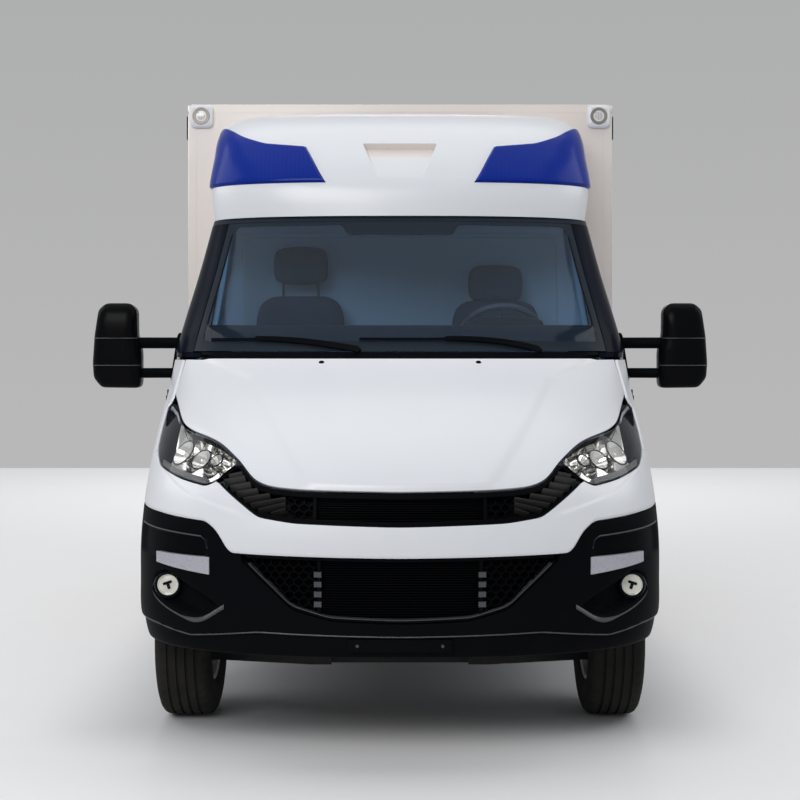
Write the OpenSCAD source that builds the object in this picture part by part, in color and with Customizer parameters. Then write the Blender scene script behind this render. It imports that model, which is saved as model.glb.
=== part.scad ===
// Box-bodied ambulance van: cab on a ladder frame with a panel box behind it.
// Stations run from the nose (0) to the rear step; place() centres the whole on the origin.

/* [Overall] */
// Length from the nose to the rear step
overall_length = 5950; // [5850:10:6300]
// Distance between the axles
wheelbase = 3750; // [3650:10:3900]
// Nose to the front axle
front_overhang = 1000; // [990:2:1015]

/* [Cab] */
// Width over the front wings
cab_width = 2010; // [1980:2:2040]
// Nose to the back of the cab
cab_length = 2140; // [2125:5:2180]
// Underside of the bumper
bumper_base = 385; // [370:1:400]
// Lower edge of the painted bumper band
band_base = 778; // [768:1:790]
// Upper edge of the painted bumper band
band_top = 886; // [876:1:896]
// Front lip of the bonnet
bonnet_lip = 1010; // [1000:1:1020]
// Gutter at the foot of the windscreen
cowl_height = 1480; // [1470:1:1490]
// Top of the windscreen
header_height = 2105; // [2085:1:2125]
// Thickness of painted panels
panel = 16; // [13:1:19]
// Thickness of the bumper mouldings
bumper_thick = 48; // [42:1:54]
// Thickness of a cab door
door_thick = 60; // [50:1:66]
// Underside of the cab doors
door_base = 500; // [485:1:515]

/* [Fit] */
// Gap round moving panels
shut_gap = 6; // [5.5:0.5:7]
// Gap between fixed pieces
seam = 0.4; // [0.3:0.1:0.5]
// Running clearance of hinge pins and spindles
running = 0.06; // [0.04:0.01:0.09]
// Radius of the hinge pins
pin_radius = 4; // [3.5:0.25:5]
// Radius of the hinge knuckles
knuckle_radius = 9; // [8.5:0.25:10]

/* [Box] */
// Width over the box walls
box_width = 2100; // [2070:5:2140]
// Top of the box roof
box_top = 2730; // [2715:5:2780]
// Thickness of box walls, roof and doors
box_wall = 40; // [34:1:46]
// Lower edge of the box skirts
skirt_base = 430; // [410:5:450]
// Upper face of the load floor
floor_top = 850; // [835:5:870]
// Thickness of the load floor
floor_thick = 60; // [50:2:70]
// Length of the side door
side_door_length = 760; // [700:10:820]
// Lower edge of the box windows
box_window_base = 1650; // [1600:10:1700]
// Height of the box windows
box_window_height = 560; // [500:10:600]

/* [Running gear] */
// Radius of a tyre
tyre_radius = 350; // [345:1:355]
// Width of a tyre
tyre_width = 225; // [215:1:235]
// Radius of the rim seat
rim_radius = 203; // [199:1:207]
// Distance between the tyre mid planes
track = 1725; // [1705:5:1745]
// Tyre mid plane to the steering pivot
pivot_offset = 88; // [82:1:94]
// Radius of a wheel spindle
spindle_radius = 30; // [26:1:34]
// Room between tyre and wheel arch
arch_room = 72; // [68:1:78]

/* [Frame] */
// Half width over the frame rails
rail_out = 440; // [425:5:455]
// Underside of the frame rails
rail_base = 480; // [470:2:490]
// Height of the frame rails
rail_height = 160; // [150:2:166]
// Width of a rail flange
rail_flange = 70; // [60:2:80]
// Wall of the frame rails
rail_wall = 8; // [6:1:10]

/* [Hidden] */
$fn = 48;

cab_half = cab_width / 2;
front_axle = front_overhang;
rear_axle = front_overhang + wheelbase;
axle_height = tyre_radius;
arch_radius = tyre_radius + arch_room;
liner_wall = 6;
rail_top = rail_base + rail_height;
rail_in = rail_out - rail_flange;

// Cab body stations
bumper_end = front_axle - 350;
wing_back = front_axle + 284;
door_front = wing_back + shut_gap;
hinge_station = wing_back + shut_gap / 2;
hinge_out = cab_half + knuckle_radius;
back_wall_front = cab_length - 75;
door_back = back_wall_front - shut_gap;
roof_base = header_height - 25;
door_top = roof_base - shut_gap;
cowl_top = cowl_height + 17;
pillar_start = 61;
pillar_end = 88;
bonnet_side = 66;
floor_base = rail_top + seam;
cab_floor_top = floor_base + 50;
firewall = front_axle + 190;
firewall_thick = 40;
post_in = cab_half - 125;
post_out = cab_half - 56;

// Bonnet hinge, beside the corners of the gutter beam
bonnet_pin_station = front_axle + 8;
bonnet_pin_height = cowl_height - 16;
beam_half = cab_half - 205;

// Box stations and sizes
box_front = cab_length + 10;
box_half = box_width / 2;
box_end = overall_length - 181;
box_door_front = box_end + shut_gap + 1;
box_door_back = box_door_front + box_wall;
box_hinge_out = box_half + 8;
box_hinge_station = box_door_back + 8;
floor_base_box = floor_top - floor_thick;
roof_base_box = box_top - box_wall;
side_door_front = box_front + 520;
side_door_back = side_door_front + side_door_length;
side_door_base = floor_top - 30;
side_door_top = roof_base_box - 150;
step_top = 560;

// Body sections by height: height, nose station, half width, corner depth, squareness
CAB = [
    [bumper_base - 25, 110, cab_half - 55, 560, 2.5],
    [bumper_base + 35, 46, cab_half - 20, 610, 2.5],
    [bumper_base + 135, 20, cab_half - 2, 635, 2.5],
    [bumper_base + 255, 14, cab_half, 645, 2.5],
    [band_base, 0, cab_half, 670, 2.5],
    [band_top + 14, 14, cab_half - 1, 725, 2.5],
    [bonnet_lip + 5, 52, cab_half - 2, 805, 2.5],
    [mixed(bonnet_lip, cowl_height, 0.36), 200, cab_half - 5, 880, 2.5],
    [mixed(bonnet_lip, cowl_height, 0.66), 440, cab_half - 13, 830, 2.5],
    [cowl_height, 800, cab_half - 30, 500, 2.4],
    [mixed(cowl_height, header_height, 0.2), 915, cab_half - 55, 430, 2.4],
    [mixed(cowl_height, header_height, 0.6), 1165, cab_half - 100, 380, 2.4],
    [header_height, 1400, cab_half - 140, 330, 2.4],
    [header_height + 100, 1490, cab_half - 158, 320, 2.4]
];
FAIRING = [
    [header_height + seam, 1385, cab_half - 147, 330, 2.4],
    [header_height + 95, 1392, cab_half - 131, 340, 2.5],
    [header_height + 160, 1408, cab_half - 127, 350, 2.6],
    [header_height + 295, 1478, cab_half - 139, 370, 2.7],
    [header_height + 415, 1590, cab_half - 159, 380, 2.8],
    [header_height + 495, 1740, cab_half - 205, 330, 2.8],
    [header_height + 540, 1930, cab_half - 305, 190, 2.8],
    [header_height + 560, cab_length - 5, cab_half - 485, 10, 2.8]
];

// Panel edges in the front view: angle round the nose, height
BONNET_EDGE = [
    [0, bonnet_lip], [20, bonnet_lip + 12], [26, bonnet_lip + 36], [31, bonnet_lip + 102],
    [38, bonnet_lip + 162], [53, bonnet_lip + 214], [61, bonnet_lip + 283], [66, bonnet_lip + 320]
];
GRILLE_EDGE = [[0, band_top], [17, band_top + 11], [25, band_top + 29], [37, band_top + 151]];
LAMP_LOW = [
    [31, bonnet_lip + 92], [37, band_top + 151], [40.5, bonnet_lip + 8], [50, bonnet_lip + 25],
    [63, bonnet_lip + 57], [68, bonnet_lip + 95], [70, bonnet_lip + 130]
];
LAMP_TAIL = [[60, bonnet_lip + 266], [66, bonnet_lip + 288], [70, bonnet_lip + 262]];
BAND_LOW = [
    [0, band_base], [33, band_base + 8], [37, band_base + 73], [40, band_base + 105],
    [61, band_base + 120], [78, band_base + 127], [90, band_base + 130]
];
MOUTH_LOW = [
    [0, bumper_base + 160], [10, bumper_base + 170], [17.5, bumper_base + 210],
    [22, bumper_base + 280], [29, bumper_base + 380]
];
LENS_HIGH = [
    [16, header_height + 300], [24, header_height + 322], [36, header_height + 352],
    [52, header_height + 388], [62, header_height + 430], [75, header_height + 452],
    [100, header_height + 452]
];

function mixed(a, b, t) = a + (b - a) * t;
function unit(v) = v / norm(v);
function row_of(rows, p, i = 0) = i >= len(rows) - 2 || p < rows[i + 1][0] ? i : row_of(rows, p, i + 1);
function slope(rows, i, c) =
    let(a = max(i - 1, 0), b = min(i + 1, len(rows) - 1))
    (rows[b][c] - rows[a][c]) / (rows[b][0] - rows[a][0]);
// Column c of a table at position p of its first column, on a smooth cubic through the rows
function smooth(rows, p, c) =
    let(i = row_of(rows, p), h = rows[i + 1][0] - rows[i][0], t = (p - rows[i][0]) / h)
    rows[i][c] * (2 * t ^ 3 - 3 * t ^ 2 + 1) + slope(rows, i, c) * h * (t ^ 3 - 2 * t ^ 2 + t)
    + rows[i + 1][c] * (3 * t ^ 2 - 2 * t ^ 3) + slope(rows, i + 1, c) * h * (t ^ 3 - t ^ 2);
// Point of the body skin: angle 0 at the nose, 90 at the side, then straight back
run = 10;
function skin(rows, a, z) =
    let(e = 2 / smooth(rows, z, 4), b = min(abs(a), 90))
    [sign(a) * smooth(rows, z, 2) * sin(b) ^ e,
     smooth(rows, z, 1) + smooth(rows, z, 3) * (1 - max(cos(b), 0) ^ e) + run * max(abs(a) - 90, 0), z];
function outward(rows, a, z) =
    unit(cross(skin(rows, a + 0.5, z) - skin(rows, a - 0.5, z), skin(rows, a, z + 1) - skin(rows, a, z - 1)));
function under(rows, a, z, depth) = skin(rows, a, z) - depth * outward(rows, a, z);
// Half width of the skin at a station and height
function side_x(rows, y, z) =
    let(n = smooth(rows, z, 4), q = (y - smooth(rows, z, 1)) / smooth(rows, z, 3))
    smooth(rows, z, 2) * (q >= 1 ? 1 : (1 - (1 - max(q, 0)) ^ n) ^ (1 / n));
// Angle at which the skin reaches a station
function angle_at(rows, y, z) =
    let(q = (y - smooth(rows, z, 1)) / smooth(rows, z, 3))
    q >= 1 ? 90 + (y - smooth(rows, z, 1) - smooth(rows, z, 3)) / run
           : acos((1 - q) ^ (smooth(rows, z, 4) / 2));
function angle_of(rows, x, z) = asin((x / smooth(rows, z, 2)) ^ (smooth(rows, z, 4) / 2));
function half_at(z) = smooth(CAB, z, 2);
// Nominal angle pulled in past 60 so that the last column lies on station y_end
function pulled(rows, a, z, y_end) =
    abs(a) <= 60 ? a : sign(a) * (60 + (abs(a) - 60) * (angle_at(rows, y_end, z) - 60) / 30);
function spot(rows, a, v, low, high, y_end, turns = 3) =
    turns == 0 ? [a, mixed(low(abs(a)), high(abs(a)), v)]
    : let(p = spot(rows, a, v, low, high, y_end, turns - 1), b = pulled(rows, a, p[1], y_end))
      [b, mixed(low(abs(b)), high(abs(b)), v)];
function ended(p, y_end) = [p[0], min(p[1], y_end), p[2]];
function steps(a, b, n) = [for (k = [0:n]) mixed(a, b, k / n)];
function arch_top(y, r) = axle_height + sqrt(max(r ^ 2 - (y - front_axle) ^ 2, 0));

// Closed shell between two grids of points, rows upward and columns to the right seen from outside
module shell(face, back) {
    rows = len(face) - 1;
    cols = len(face[0]) - 1;
    wide = cols + 1;
    half = (rows + 1) * wide;
    points = concat([for (r = face) each r], [for (r = back) each r]);
    cells = [for (i = [0:rows - 1], j = [0:cols - 1]) let(p = i * wide + j) each [
        [p, p + wide, p + wide + 1], [p, p + wide + 1, p + 1],
        [half + p, half + p + wide + 1, half + p + wide], [half + p, half + p + 1, half + p + wide + 1]]];
    low_rim = [for (j = [0:cols - 1]) each [[j, j + 1, half + j + 1], [j, half + j + 1, half + j]]];
    high_rim = [for (j = [0:cols - 1]) let(p = rows * wide + j)
        each [[p + 1, p, half + p + 1], [p, half + p, half + p + 1]]];
    left_rim = [for (i = [0:rows - 1]) let(p = i * wide)
        each [[p + wide, p, half + p + wide], [p, half + p, half + p + wide]]];
    right_rim = [for (i = [0:rows - 1]) let(p = i * wide + cols)
        each [[p, p + wide, half + p + wide], [p, half + p + wide, half + p]]];
    polyhedron(points, concat(cells, low_rim, high_rim, left_rim, right_rim));
}

// Panel of the skin between two height edges, from proud of the skin to a depth under it
module panel_of(rows, angles, low, high, levels, proud, depth) {
    shell([for (v = steps(0, 1, levels)) [for (a = angles) under(rows, a, mixed(low(a), high(a), v), -proud)]],
          [for (v = steps(0, 1, levels)) [for (a = angles) under(rows, a, mixed(low(a), high(a), v), depth)]]);
}

// The same, pulled in so that it ends on station y_end at both sides
module wrap_of(rows, angles, low, high, levels, depth, y_end) {
    spots = [for (v = steps(0, 1, levels)) [for (a = angles) spot(rows, a, v, low, high, y_end)]];
    shell([for (r = spots) [for (s = r) ended(skin(rows, s[0], s[1]), y_end)]],
          [for (r = spots) [for (s = r) ended(under(rows, s[0], s[1], depth), y_end)]]);
}

module both_sides() {
    children();
    mirror([1, 0, 0])
        children();
}

module on_side(side) {
    mirror([side < 0 ? 1 : 0, 0, 0])
        children();
}

module along_x(x0, x1) {
    translate([x0, 0, 0])
        rotate([90, 0, 90])
            linear_extrude(height = x1 - x0)
                children();
}

module along_y(y0, y1) {
    translate([0, y1, 0])
        rotate([90, 0, 0])
            linear_extrude(height = y1 - y0)
                children();
}

module block(low, high) {
    translate(low)
        cube(high - low);
}

module round_x(x0, x1, y, z, r) {
    translate([x0, y, z])
        rotate([0, 90, 0])
            cylinder(h = x1 - x0, r = r);
}

module round_y(y0, y1, x, z, r) {
    translate([x, y0, z])
        rotate([-90, 0, 0])
            cylinder(h = y1 - y0, r = r);
}

module round_z(z0, z1, x, y, r) {
    translate([x, y, z0])
        cylinder(h = z1 - z0, r = r);
}

// Round bar between two points
module bar(p, q, r) {
    d = q - p;
    translate(p)
        rotate([0, acos(d[2] / norm(d)), atan2(d[1], d[0])])
            cylinder(h = norm(d), r = r);
}

// Plan strip of the skin at one height, between two setbacks
module plan_strip(rows, angles, z, front, back) {
    curve = [for (a = angles) [skin(rows, a, z)[0], skin(rows, a, z)[1]]];
    n = len(curve);
    polygon(concat([for (p = curve) [p[0], p[1] + front]], [for (k = [1:n]) curve[n - k] + [0, back]]));
}

// Cross section strip of the cab side between two depths under the skin
module side_strip(z0, z1, front, back, n) {
    polygon(concat([for (z = steps(z0, z1, n)) [half_at(z) - front, z]],
                   [for (z = steps(z1, z0, n)) [half_at(z) - back, z]]));
}

module rounded(w, h, r) {
    offset(r = r)
        square([w - 2 * r, h - 2 * r], center = true);
}

// Ladder frame
beam_stations = [front_axle - 740, box_front + 60, rear_axle - 1350, rear_axle - 680, rear_axle + 640, box_end - 120];
module frame() {
    color("#2b2d30") {
        both_sides()
            difference() {
                block([rail_in, front_axle - 780, rail_base], [rail_out, box_end - 20, rail_top]);
                block([rail_in - 1, front_axle - 781, rail_base + rail_wall],
                      [rail_out - rail_wall, box_end - 19, rail_top - rail_wall]);
            }
        for (y = beam_stations)
            block([-rail_out + rail_wall + seam, y - 40, rail_top - 80],
                  [rail_out - rail_wall - seam, y + 40, rail_top - rail_wall - seam]);
    }
}

// Front cross beam with upper and lower arms
arm_top = axle_height + 110;
arm_low = axle_height - 110;
arm_thick = 34;
kingpin = track / 2 - pivot_offset;
kingpin_radius = 14;
eye_radius = 28;
arm_root = rail_in - 30;
module arm_plate(z) {
    difference() {
        translate([0, 0, z - arm_thick / 2])
            linear_extrude(height = arm_thick)
                difference() {
                    hull() {
                        translate([kingpin, front_axle])
                            circle(r = eye_radius);
                        translate([arm_root, front_axle - 130])
                            square([20, 260]);
                    }
                    hull() {
                        translate([kingpin - 150, front_axle])
                            circle(r = 12);
                        translate([arm_root + 60, front_axle - 70])
                            square([10, 140]);
                    }
                }
        round_z(z - arm_thick, z + arm_thick, kingpin, front_axle, kingpin_radius + running);
    }
}
module front_arms() {
    color("#303236") {
        both_sides() {
            arm_plate(arm_top);
            arm_plate(arm_low);
            block([arm_root - 60, front_axle - 130, arm_low - arm_thick / 2],
                  [arm_root + 15, front_axle + 130, rail_base - seam]);
        }
        block([-arm_root, front_axle - 90, arm_low - arm_thick / 2],
              [arm_root, front_axle + 90, arm_low + 70]);
    }
}

// Steering knuckle with kingpin and wheel spindle
module knuckle(side) {
    color("#3a3c40")
        on_side(side) {
            round_z(arm_low - arm_thick / 2 - 8, arm_top + arm_thick / 2 + 8, kingpin, front_axle, kingpin_radius);
            round_z(arm_low + arm_thick / 2 + 1, arm_top - arm_thick / 2 - 1, kingpin, front_axle, eye_radius);
            round_x(kingpin, track / 2 - 20, front_axle, axle_height, 55);
            round_x(kingpin, track / 2 + 40, front_axle, axle_height, spindle_radius);
            round_x(track / 2 - 42, track / 2 - 24, front_axle, axle_height, 140);
        }
}

// Rear axle beam and its two leaf springs
spring_in = rail_out + 25;
spring_out = spring_in + 70;
spring_half = 600;
tube_radius = 55;
housing_radius = 165;
function spring_line(y, up) = [rear_axle + y, axle_height + tube_radius + seam + 40 * (y / spring_half) ^ 2 + up];
module leaf(half_span, up, thick) {
    along_x(spring_in, spring_out)
        polygon(concat([for (y = steps(-half_span, half_span, 12)) spring_line(y, up)],
                       [for (y = steps(half_span, -half_span, 12)) spring_line(y, up + thick)]));
}
module rear_suspension() {
    color("#303236") {
        round_x(-track / 2 + 30, track / 2 - 30, rear_axle, axle_height, tube_radius);
        round_x(-track / 2 - 40, track / 2 + 40, rear_axle, axle_height, spindle_radius);
        both_sides()
            round_x(track / 2 - 42, track / 2 - 24, rear_axle, axle_height, 140);
        translate([0, rear_axle, axle_height])
            rotate([0, 90, 0])
                rotate_extrude()
                    polygon([[0, -260], [tube_radius + 4, -260], [housing_radius, -90],
                             [housing_radius, 90], [tube_radius + 4, 260], [0, 260]]);
        round_y(rear_axle - 240, rear_axle, 0, axle_height, 60);
        both_sides()
            difference() {
                union() {
                    leaf(spring_half * 0.6, 0, 14.2);
                    leaf(spring_half, 14, 14);
                    for (end = [-1, 1]) {
                        round_x(spring_in, spring_out, rear_axle + end * spring_half,
                                spring_line(spring_half, 24)[1], 26);
                        block([rail_out + seam, rear_axle + end * spring_half - 28, spring_line(spring_half, 24)[1] - 15],
                              [spring_in + 12, rear_axle + end * spring_half + 28, rail_top - 20]);
                    }
                }
                for (end = [-1, 1])
                    round_x(spring_in + 13, spring_out + 1, rear_axle + end * spring_half,
                            spring_line(spring_half, 24)[1], 12);
            }
    }
}

// Engine block with gearbox, propeller shaft and radiator
gearbox_end = front_axle + 640;
shaft_front_height = rail_base + 15;
module powertrain() {
    color("#5d6064") {
        block([-280, front_axle - 560, rail_base - 20], [280, front_axle + 130, bonnet_lip + 40]);
        block([-rail_in - 20, front_axle - 640, rail_top + seam], [rail_in + 20, front_axle - 570, bonnet_lip - 60]);
        block([-rail_in - 20, front_axle - 300, rail_top + seam], [rail_in + 20, front_axle - 200, rail_top + 60]);
        round_y(front_axle + 100, firewall - 10, 0, shaft_front_height + 60, 190);
        round_y(front_axle + 170, gearbox_end, 0, shaft_front_height, 110);
    }
    color("#44474b") {
        start = [0, gearbox_end + seam, shaft_front_height];
        finish = [0, rear_axle - 240 - seam, axle_height];
        round_y(start[1], start[1] + 60, 0, start[2], 58);
        round_y(finish[1] - 60, finish[1], 0, finish[2], 58);
        bar(start + [0, 30, 0], finish - [0, 30, 0], 42);
    }
}

// Fuel tank against the left rail
module fuel_tank() {
    color("#232527")
        along_y(box_front + 250, box_front + 1250)
            translate([rail_out + seam + 190, rail_base + 70])
                rounded(380, 290, 40);
}

// Exhaust along the right rail
module exhaust() {
    x = -rail_out - 140;
    z = rail_base + 40;
    low = rail_base - 50;
    path = [[-280 - seam, front_axle + 60, rail_base + 65], [-320, front_axle + 60, rail_base + 65],
            [-320, front_axle + 240, rail_base + 65], [-320, front_axle + 320, low], [-320, front_axle + 900, low],
            [x, box_front + 100, low], [x, box_front + 300, z], [x, rear_axle - 920, z],
            [x - 300, rear_axle - 700, low + 10], [x - 380, rear_axle - 620, low - 35]];
    color("#7c7a76") {
        for (k = [0:len(path) - 2])
            bar(path[k], path[k + 1], 32);
        for (k = [1:len(path) - 2])
            translate(path[k])
                sphere(r = 35);
        round_y(box_front + 500, box_front + 1250, x, z, 105);
        block([-rail_out - 100, box_front + 800, z - 30], [-rail_out - seam, box_front + 840, z + 30]);
    }
}

// Cab floor with sills and firewall, back wall and roof skin
module arch_tunnel(r) {
    both_sides()
        round_x(track / 2 - 270, cab_half + 100, front_axle, axle_height, r);
}
module cab_shell() {
    color("#e4e6ec") {
        difference() {
            union() {
                block([-half_at(660) + door_thick + 9, firewall, floor_base],
                      [half_at(660) - door_thick - 9, back_wall_front - seam, cab_floor_top]);
                block([-post_in + seam, firewall, floor_base], [post_in - seam, firewall + firewall_thick, cowl_height - 110]);
                both_sides() {
                    block([cab_half - 130, front_axle + arch_radius + 10, door_base - 80],
                          [cab_half - 80, back_wall_front - seam, floor_base + 1]);
                    block([cab_half - 130, front_axle + arch_radius + 10, door_base - 90],
                          [cab_half - 12, back_wall_front - seam, door_base - shut_gap]);
                }
            }
            arch_tunnel(arch_radius + 4);
        }
        along_y(back_wall_front, cab_length)
            polygon(concat([for (z = steps(floor_base, roof_base - seam, 16)) [half_at(z), z]],
                           [for (z = steps(roof_base - seam, floor_base, 16)) [-half_at(z), z]]));
        translate([0, 0, roof_base])
            linear_extrude(height = header_height - roof_base)
                polygon(concat([for (a = steps(-90, 90, 30)) let(p = skin(CAB, a, header_height)) [p[0], p[1]]],
                               [[half_at(header_height), cab_length], [-half_at(header_height), cab_length]]));
    }
}

// Screen pillars, hinge posts and gutter beam
door_hinges = [band_top - 26, cowl_height - 190];
leaf_half = 20;
module cab_pillars() {
    low = function(a) cowl_top + seam;
    high = function(a) roof_base - seam;
    color("#17181b") {
        both_sides()
            panel_of(CAB, steps(pillar_start, pillar_end, 4), low, high, 8, 0, 44);
        union() {
            difference() {
                translate([0, 0, cowl_height - 2])
                    linear_extrude(height = cowl_top - cowl_height + 2)
                        plan_strip(CAB, steps(-pillar_end, pillar_end, 32), cowl_top, 0, 110);
                both_sides() {
                    block([post_in, wing_back, cowl_height - 100], [cab_half + 10, cab_length, header_height]);
                    block([beam_half + 3, 0, cowl_height - 100],
                          [beam_half + 33, bonnet_pin_station + 22, header_height]);
                }
            }
            intersection() {
                translate([0, 0, cowl_height - 100])
                    linear_extrude(height = 100)
                        plan_strip(CAB, steps(-pillar_end, pillar_end, 32), cowl_top, 0, 110);
                block([-beam_half, 0, 0], [beam_half, cab_length, header_height]);
            }
            both_sides() {
                round_x(beam_half - 20, beam_half + 29, bonnet_pin_station, bonnet_pin_height, 2 * pin_radius);
                block([post_in, firewall + 10, arch_top(firewall, arch_radius) + 20],
                      [post_out, wing_back - 1, cowl_height]);
                for (z = door_hinges) {
                    block([post_in + 20, wing_back - 30, z - leaf_half],
                          [post_out - 2, hinge_station + 1.5, z + leaf_half]);
                    block([post_out - 10, hinge_station - 1.5, z - leaf_half],
                          [hinge_out, hinge_station + 1.5, z + leaf_half]);
                    round_z(z - leaf_half, z + leaf_half, hinge_out, hinge_station, knuckle_radius);
                    round_z(z - leaf_half - 26, z + leaf_half + 26, hinge_out, hinge_station, pin_radius);
                }
            }
        }
    }
}

// Windscreen in flat levels, and the point on its face at an angle and height
glass_thick = 7;
glass_low = cowl_top + seam + 0.82 * glass_thick;
glass_high = roof_base - seam;
glass_levels = 9;
glass_step = (glass_high - glass_low) / glass_levels;
function glass_point(a, z, proud) =
    let(z0 = glass_low + glass_step * floor((z - glass_low) / glass_step))
    mixed(skin(CAB, a, z0), skin(CAB, a, z0 + glass_step), (z - z0) / glass_step) + proud * outward(CAB, a, z);
module windscreen() {
    color("#41525f", 0.6)
        panel_of(CAB, steps(-pillar_start + 0.08, pillar_start - 0.08, 20), function(a) glass_low,
                 function(a) glass_high, glass_levels, 0, glass_thick);
}

// Fairing over the cab roof and its beacon lenses
fairing_heights = [for (i = [0:len(FAIRING) - 2], k = [0:1]) mixed(FAIRING[i][0], FAIRING[i + 1][0], k / 2)];
function fairing_angles(z) =
    let(back = angle_at(FAIRING, cab_length + 9, z))
    concat(steps(-back, -90, 2), [for (a = [-81:9:81]) a], steps(90, back, 2));
module roof_fairing() {
    levels = concat(fairing_heights, [FAIRING[len(FAIRING) - 1][0] - 1]);
    color("#dfe1e7")
        shell([for (z = levels) [for (a = fairing_angles(z)) skin(FAIRING, a, z)]],
              [for (z = levels) [for (a = fairing_angles(z)) let(p = under(FAIRING, a, z, panel)) [p[0], p[1], max(p[2], levels[0])]]]);
}
lens_base = header_height + 152;
module beacons() {
    color("#1a3292")
        both_sides()
            shell([for (v = steps(0, 1, 6)) [for (u = steps(0, 1, 18)) lens_point(u, v, -14)]],
                  [for (v = steps(0, 1, 6)) [for (u = steps(0, 1, 18)) lens_point(u, v, -4 * seam)]]);
}
function lens_point(u, v, depth) =
    let(a = mixed(mixed(14.5, 19.5, v), 98, u), z = mixed(lens_base, lookup(a, LENS_HIGH), v))
    under(FAIRING, a, z, depth);

// Bumper: painted band above, dark moulding below
function band_low(a) = lookup(a, BAND_LOW);
function band_high(a) = a < 37 ? lookup(a, GRILLE_EDGE) : lookup(a, LAMP_LOW) - seam;
function bonnet_low(a) = smooth(BONNET_EDGE, abs(a), 1);
function lamp_high(a) = a <= 60 ? bonnet_low(a) - shut_gap - 5 : lookup(a, LAMP_TAIL);
function grille_high(a) = min(bonnet_low(a) - shut_gap - 12, lookup(a, LAMP_LOW) - 45);
wrap_angles = [-90, -84, -78, -72, -66, -60, -55, -50, -45, -40.5, -37, -33, -29, -25, -21, -17, -10, -5, 0,
    5, 10, 17, 21, 25, 29, 33, 37, 40.5, 45, 50, 55, 60, 66, 72, 78, 84, 90];
module bumper_band() {
    color("#e4e6ec")
        wrap_of(CAB, wrap_angles, function(a) band_low(a), function(a) band_high(a), 4, bumper_thick, bumper_end);
}
fog_x = cab_half - 140;
fog_height = bumper_base + 240;
fog_radius = 46;
plate_screw_spacing = 300;
plate_height = bumper_base + 85;
plate_screw_radius = 4;
module bumper_lower() {
    color("#18191b")
        difference() {
            wrap_of(CAB, wrap_angles, function(a) bumper_base,
                    function(a) (a < 29.01 ? lookup(a, MOUTH_LOW) : band_low(a)) - seam - 0.12 * max(a - 58, 0), 7, bumper_thick, bumper_end);
            both_sides() {
                round_y(-10, bumper_end, fog_x, fog_height, fog_radius);
                round_y(-10, 200, plate_screw_spacing / 2, plate_height, plate_screw_radius);
            }
            both_sides()
                round_x(track / 2 - 270, cab_half + 100, front_axle, axle_height, arch_radius);
        }
}

// Slatted grilles above and below the painted band
mouth_angle = 29;
module grille_outline(low, high, end) {
    angles = steps(-end, end, 24);
    polygon(concat([for (a = angles) let(p = skin(CAB, a, high(abs(a)))) [p[0], p[2]]],
                   [for (k = [0:24]) let(a = angles[24 - k], p = skin(CAB, a, low(abs(a)))) [p[0], p[2]]]));
}
module slats(z0, pitch, count, thick, front, back, end) {
    for (k = [0:count - 1])
        translate([0, 0, z0 + k * pitch])
            linear_extrude(height = thick)
                plan_strip(CAB, steps(-end, end, 16), z0 + k * pitch + thick / 2, front, back);
}
module ribs(pitch, count, z0, z1, front, back) {
    for (k = [-count:count]) {
        line = [for (z = steps(z0, z1, 4)) [skin(CAB, angle_of(CAB, abs(k) * pitch, z), z)[1], z]];
        along_x(k * pitch - 6, k * pitch + 6)
            polygon(concat([for (p = line) p + [front, 0]], [for (i = [1:5]) line[5 - i] + [back, 0]]));
    }
}
rib_drop = 3.2;
module grilles() {
    color("#101113") {
        intersection() {
            along_y(0, 700)
                grille_outline(function(a) lookup(a, GRILLE_EDGE) + seam + 1.2 * max(a - 17, 0),
                               function(a) grille_high(a), 33);
            slats(band_top + 6, 24, 9, 9, 20, 46, 44);
        }
        intersection() {
            along_y(0, 700)
                grille_outline(function(a) lookup(a, GRILLE_EDGE) - rib_drop + 1.2 * max(a - 17, 0),
                               function(a) grille_high(a), 33);
            ribs(80, 7, band_top - 10, bonnet_lip + 110, 36, 58);
        }
        intersection() {
            along_y(0, 700)
                grille_outline(function(a) lookup(a, MOUTH_LOW) + 4 + 1.4 * max(a - 8, 0), function(a) band_low(a) - seam - 0.08 * a, 27.4);
            union() {
                slats(bumper_base + 170, 36, 7, 12, 16, 44, 34);
                ribs(90, 6, bumper_base + 150, band_base + 20, 30, 47);
            }
        }
    }
}

// Headlamps, fog lamps and side reflectors of the bumper
lamp_angles = [32.4, 34.5, 37, 40.5, 45, 50, 55, 60, 65, 69.6];
LAMP_DEPTH = [[32, 60], [60, 60], [70, 8]];
function lamp_point(a, v, depth) = under(CAB, a, mixed(lookup(a, LAMP_LOW) + seam, lamp_high(a), v), depth);
module front_lamps() {
    color("#c9ced6")
        both_sides() {
            shell([for (v = steps(0, 1, 5)) [for (a = lamp_angles) lamp_point(a, v, 0)]],
                  [for (v = steps(0, 1, 5)) [for (a = lamp_angles) lamp_point(a, v, lookup(a, LAMP_DEPTH))]]);
            fog_y = skin(CAB, angle_of(CAB, fog_x, fog_height), fog_height)[1];
            round_y(fog_y + 6, fog_y + 100, fog_x, fog_height, fog_radius - seam);
            panel_of(CAB, [42, 45, 50, 55, 60, 64], function(a) mixed(bumper_base + 302, bumper_base + 330, (a - 42) / 22),
                     function(a) bumper_base + 366, 1, 5, -2.5 * seam);
        }
}

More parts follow.
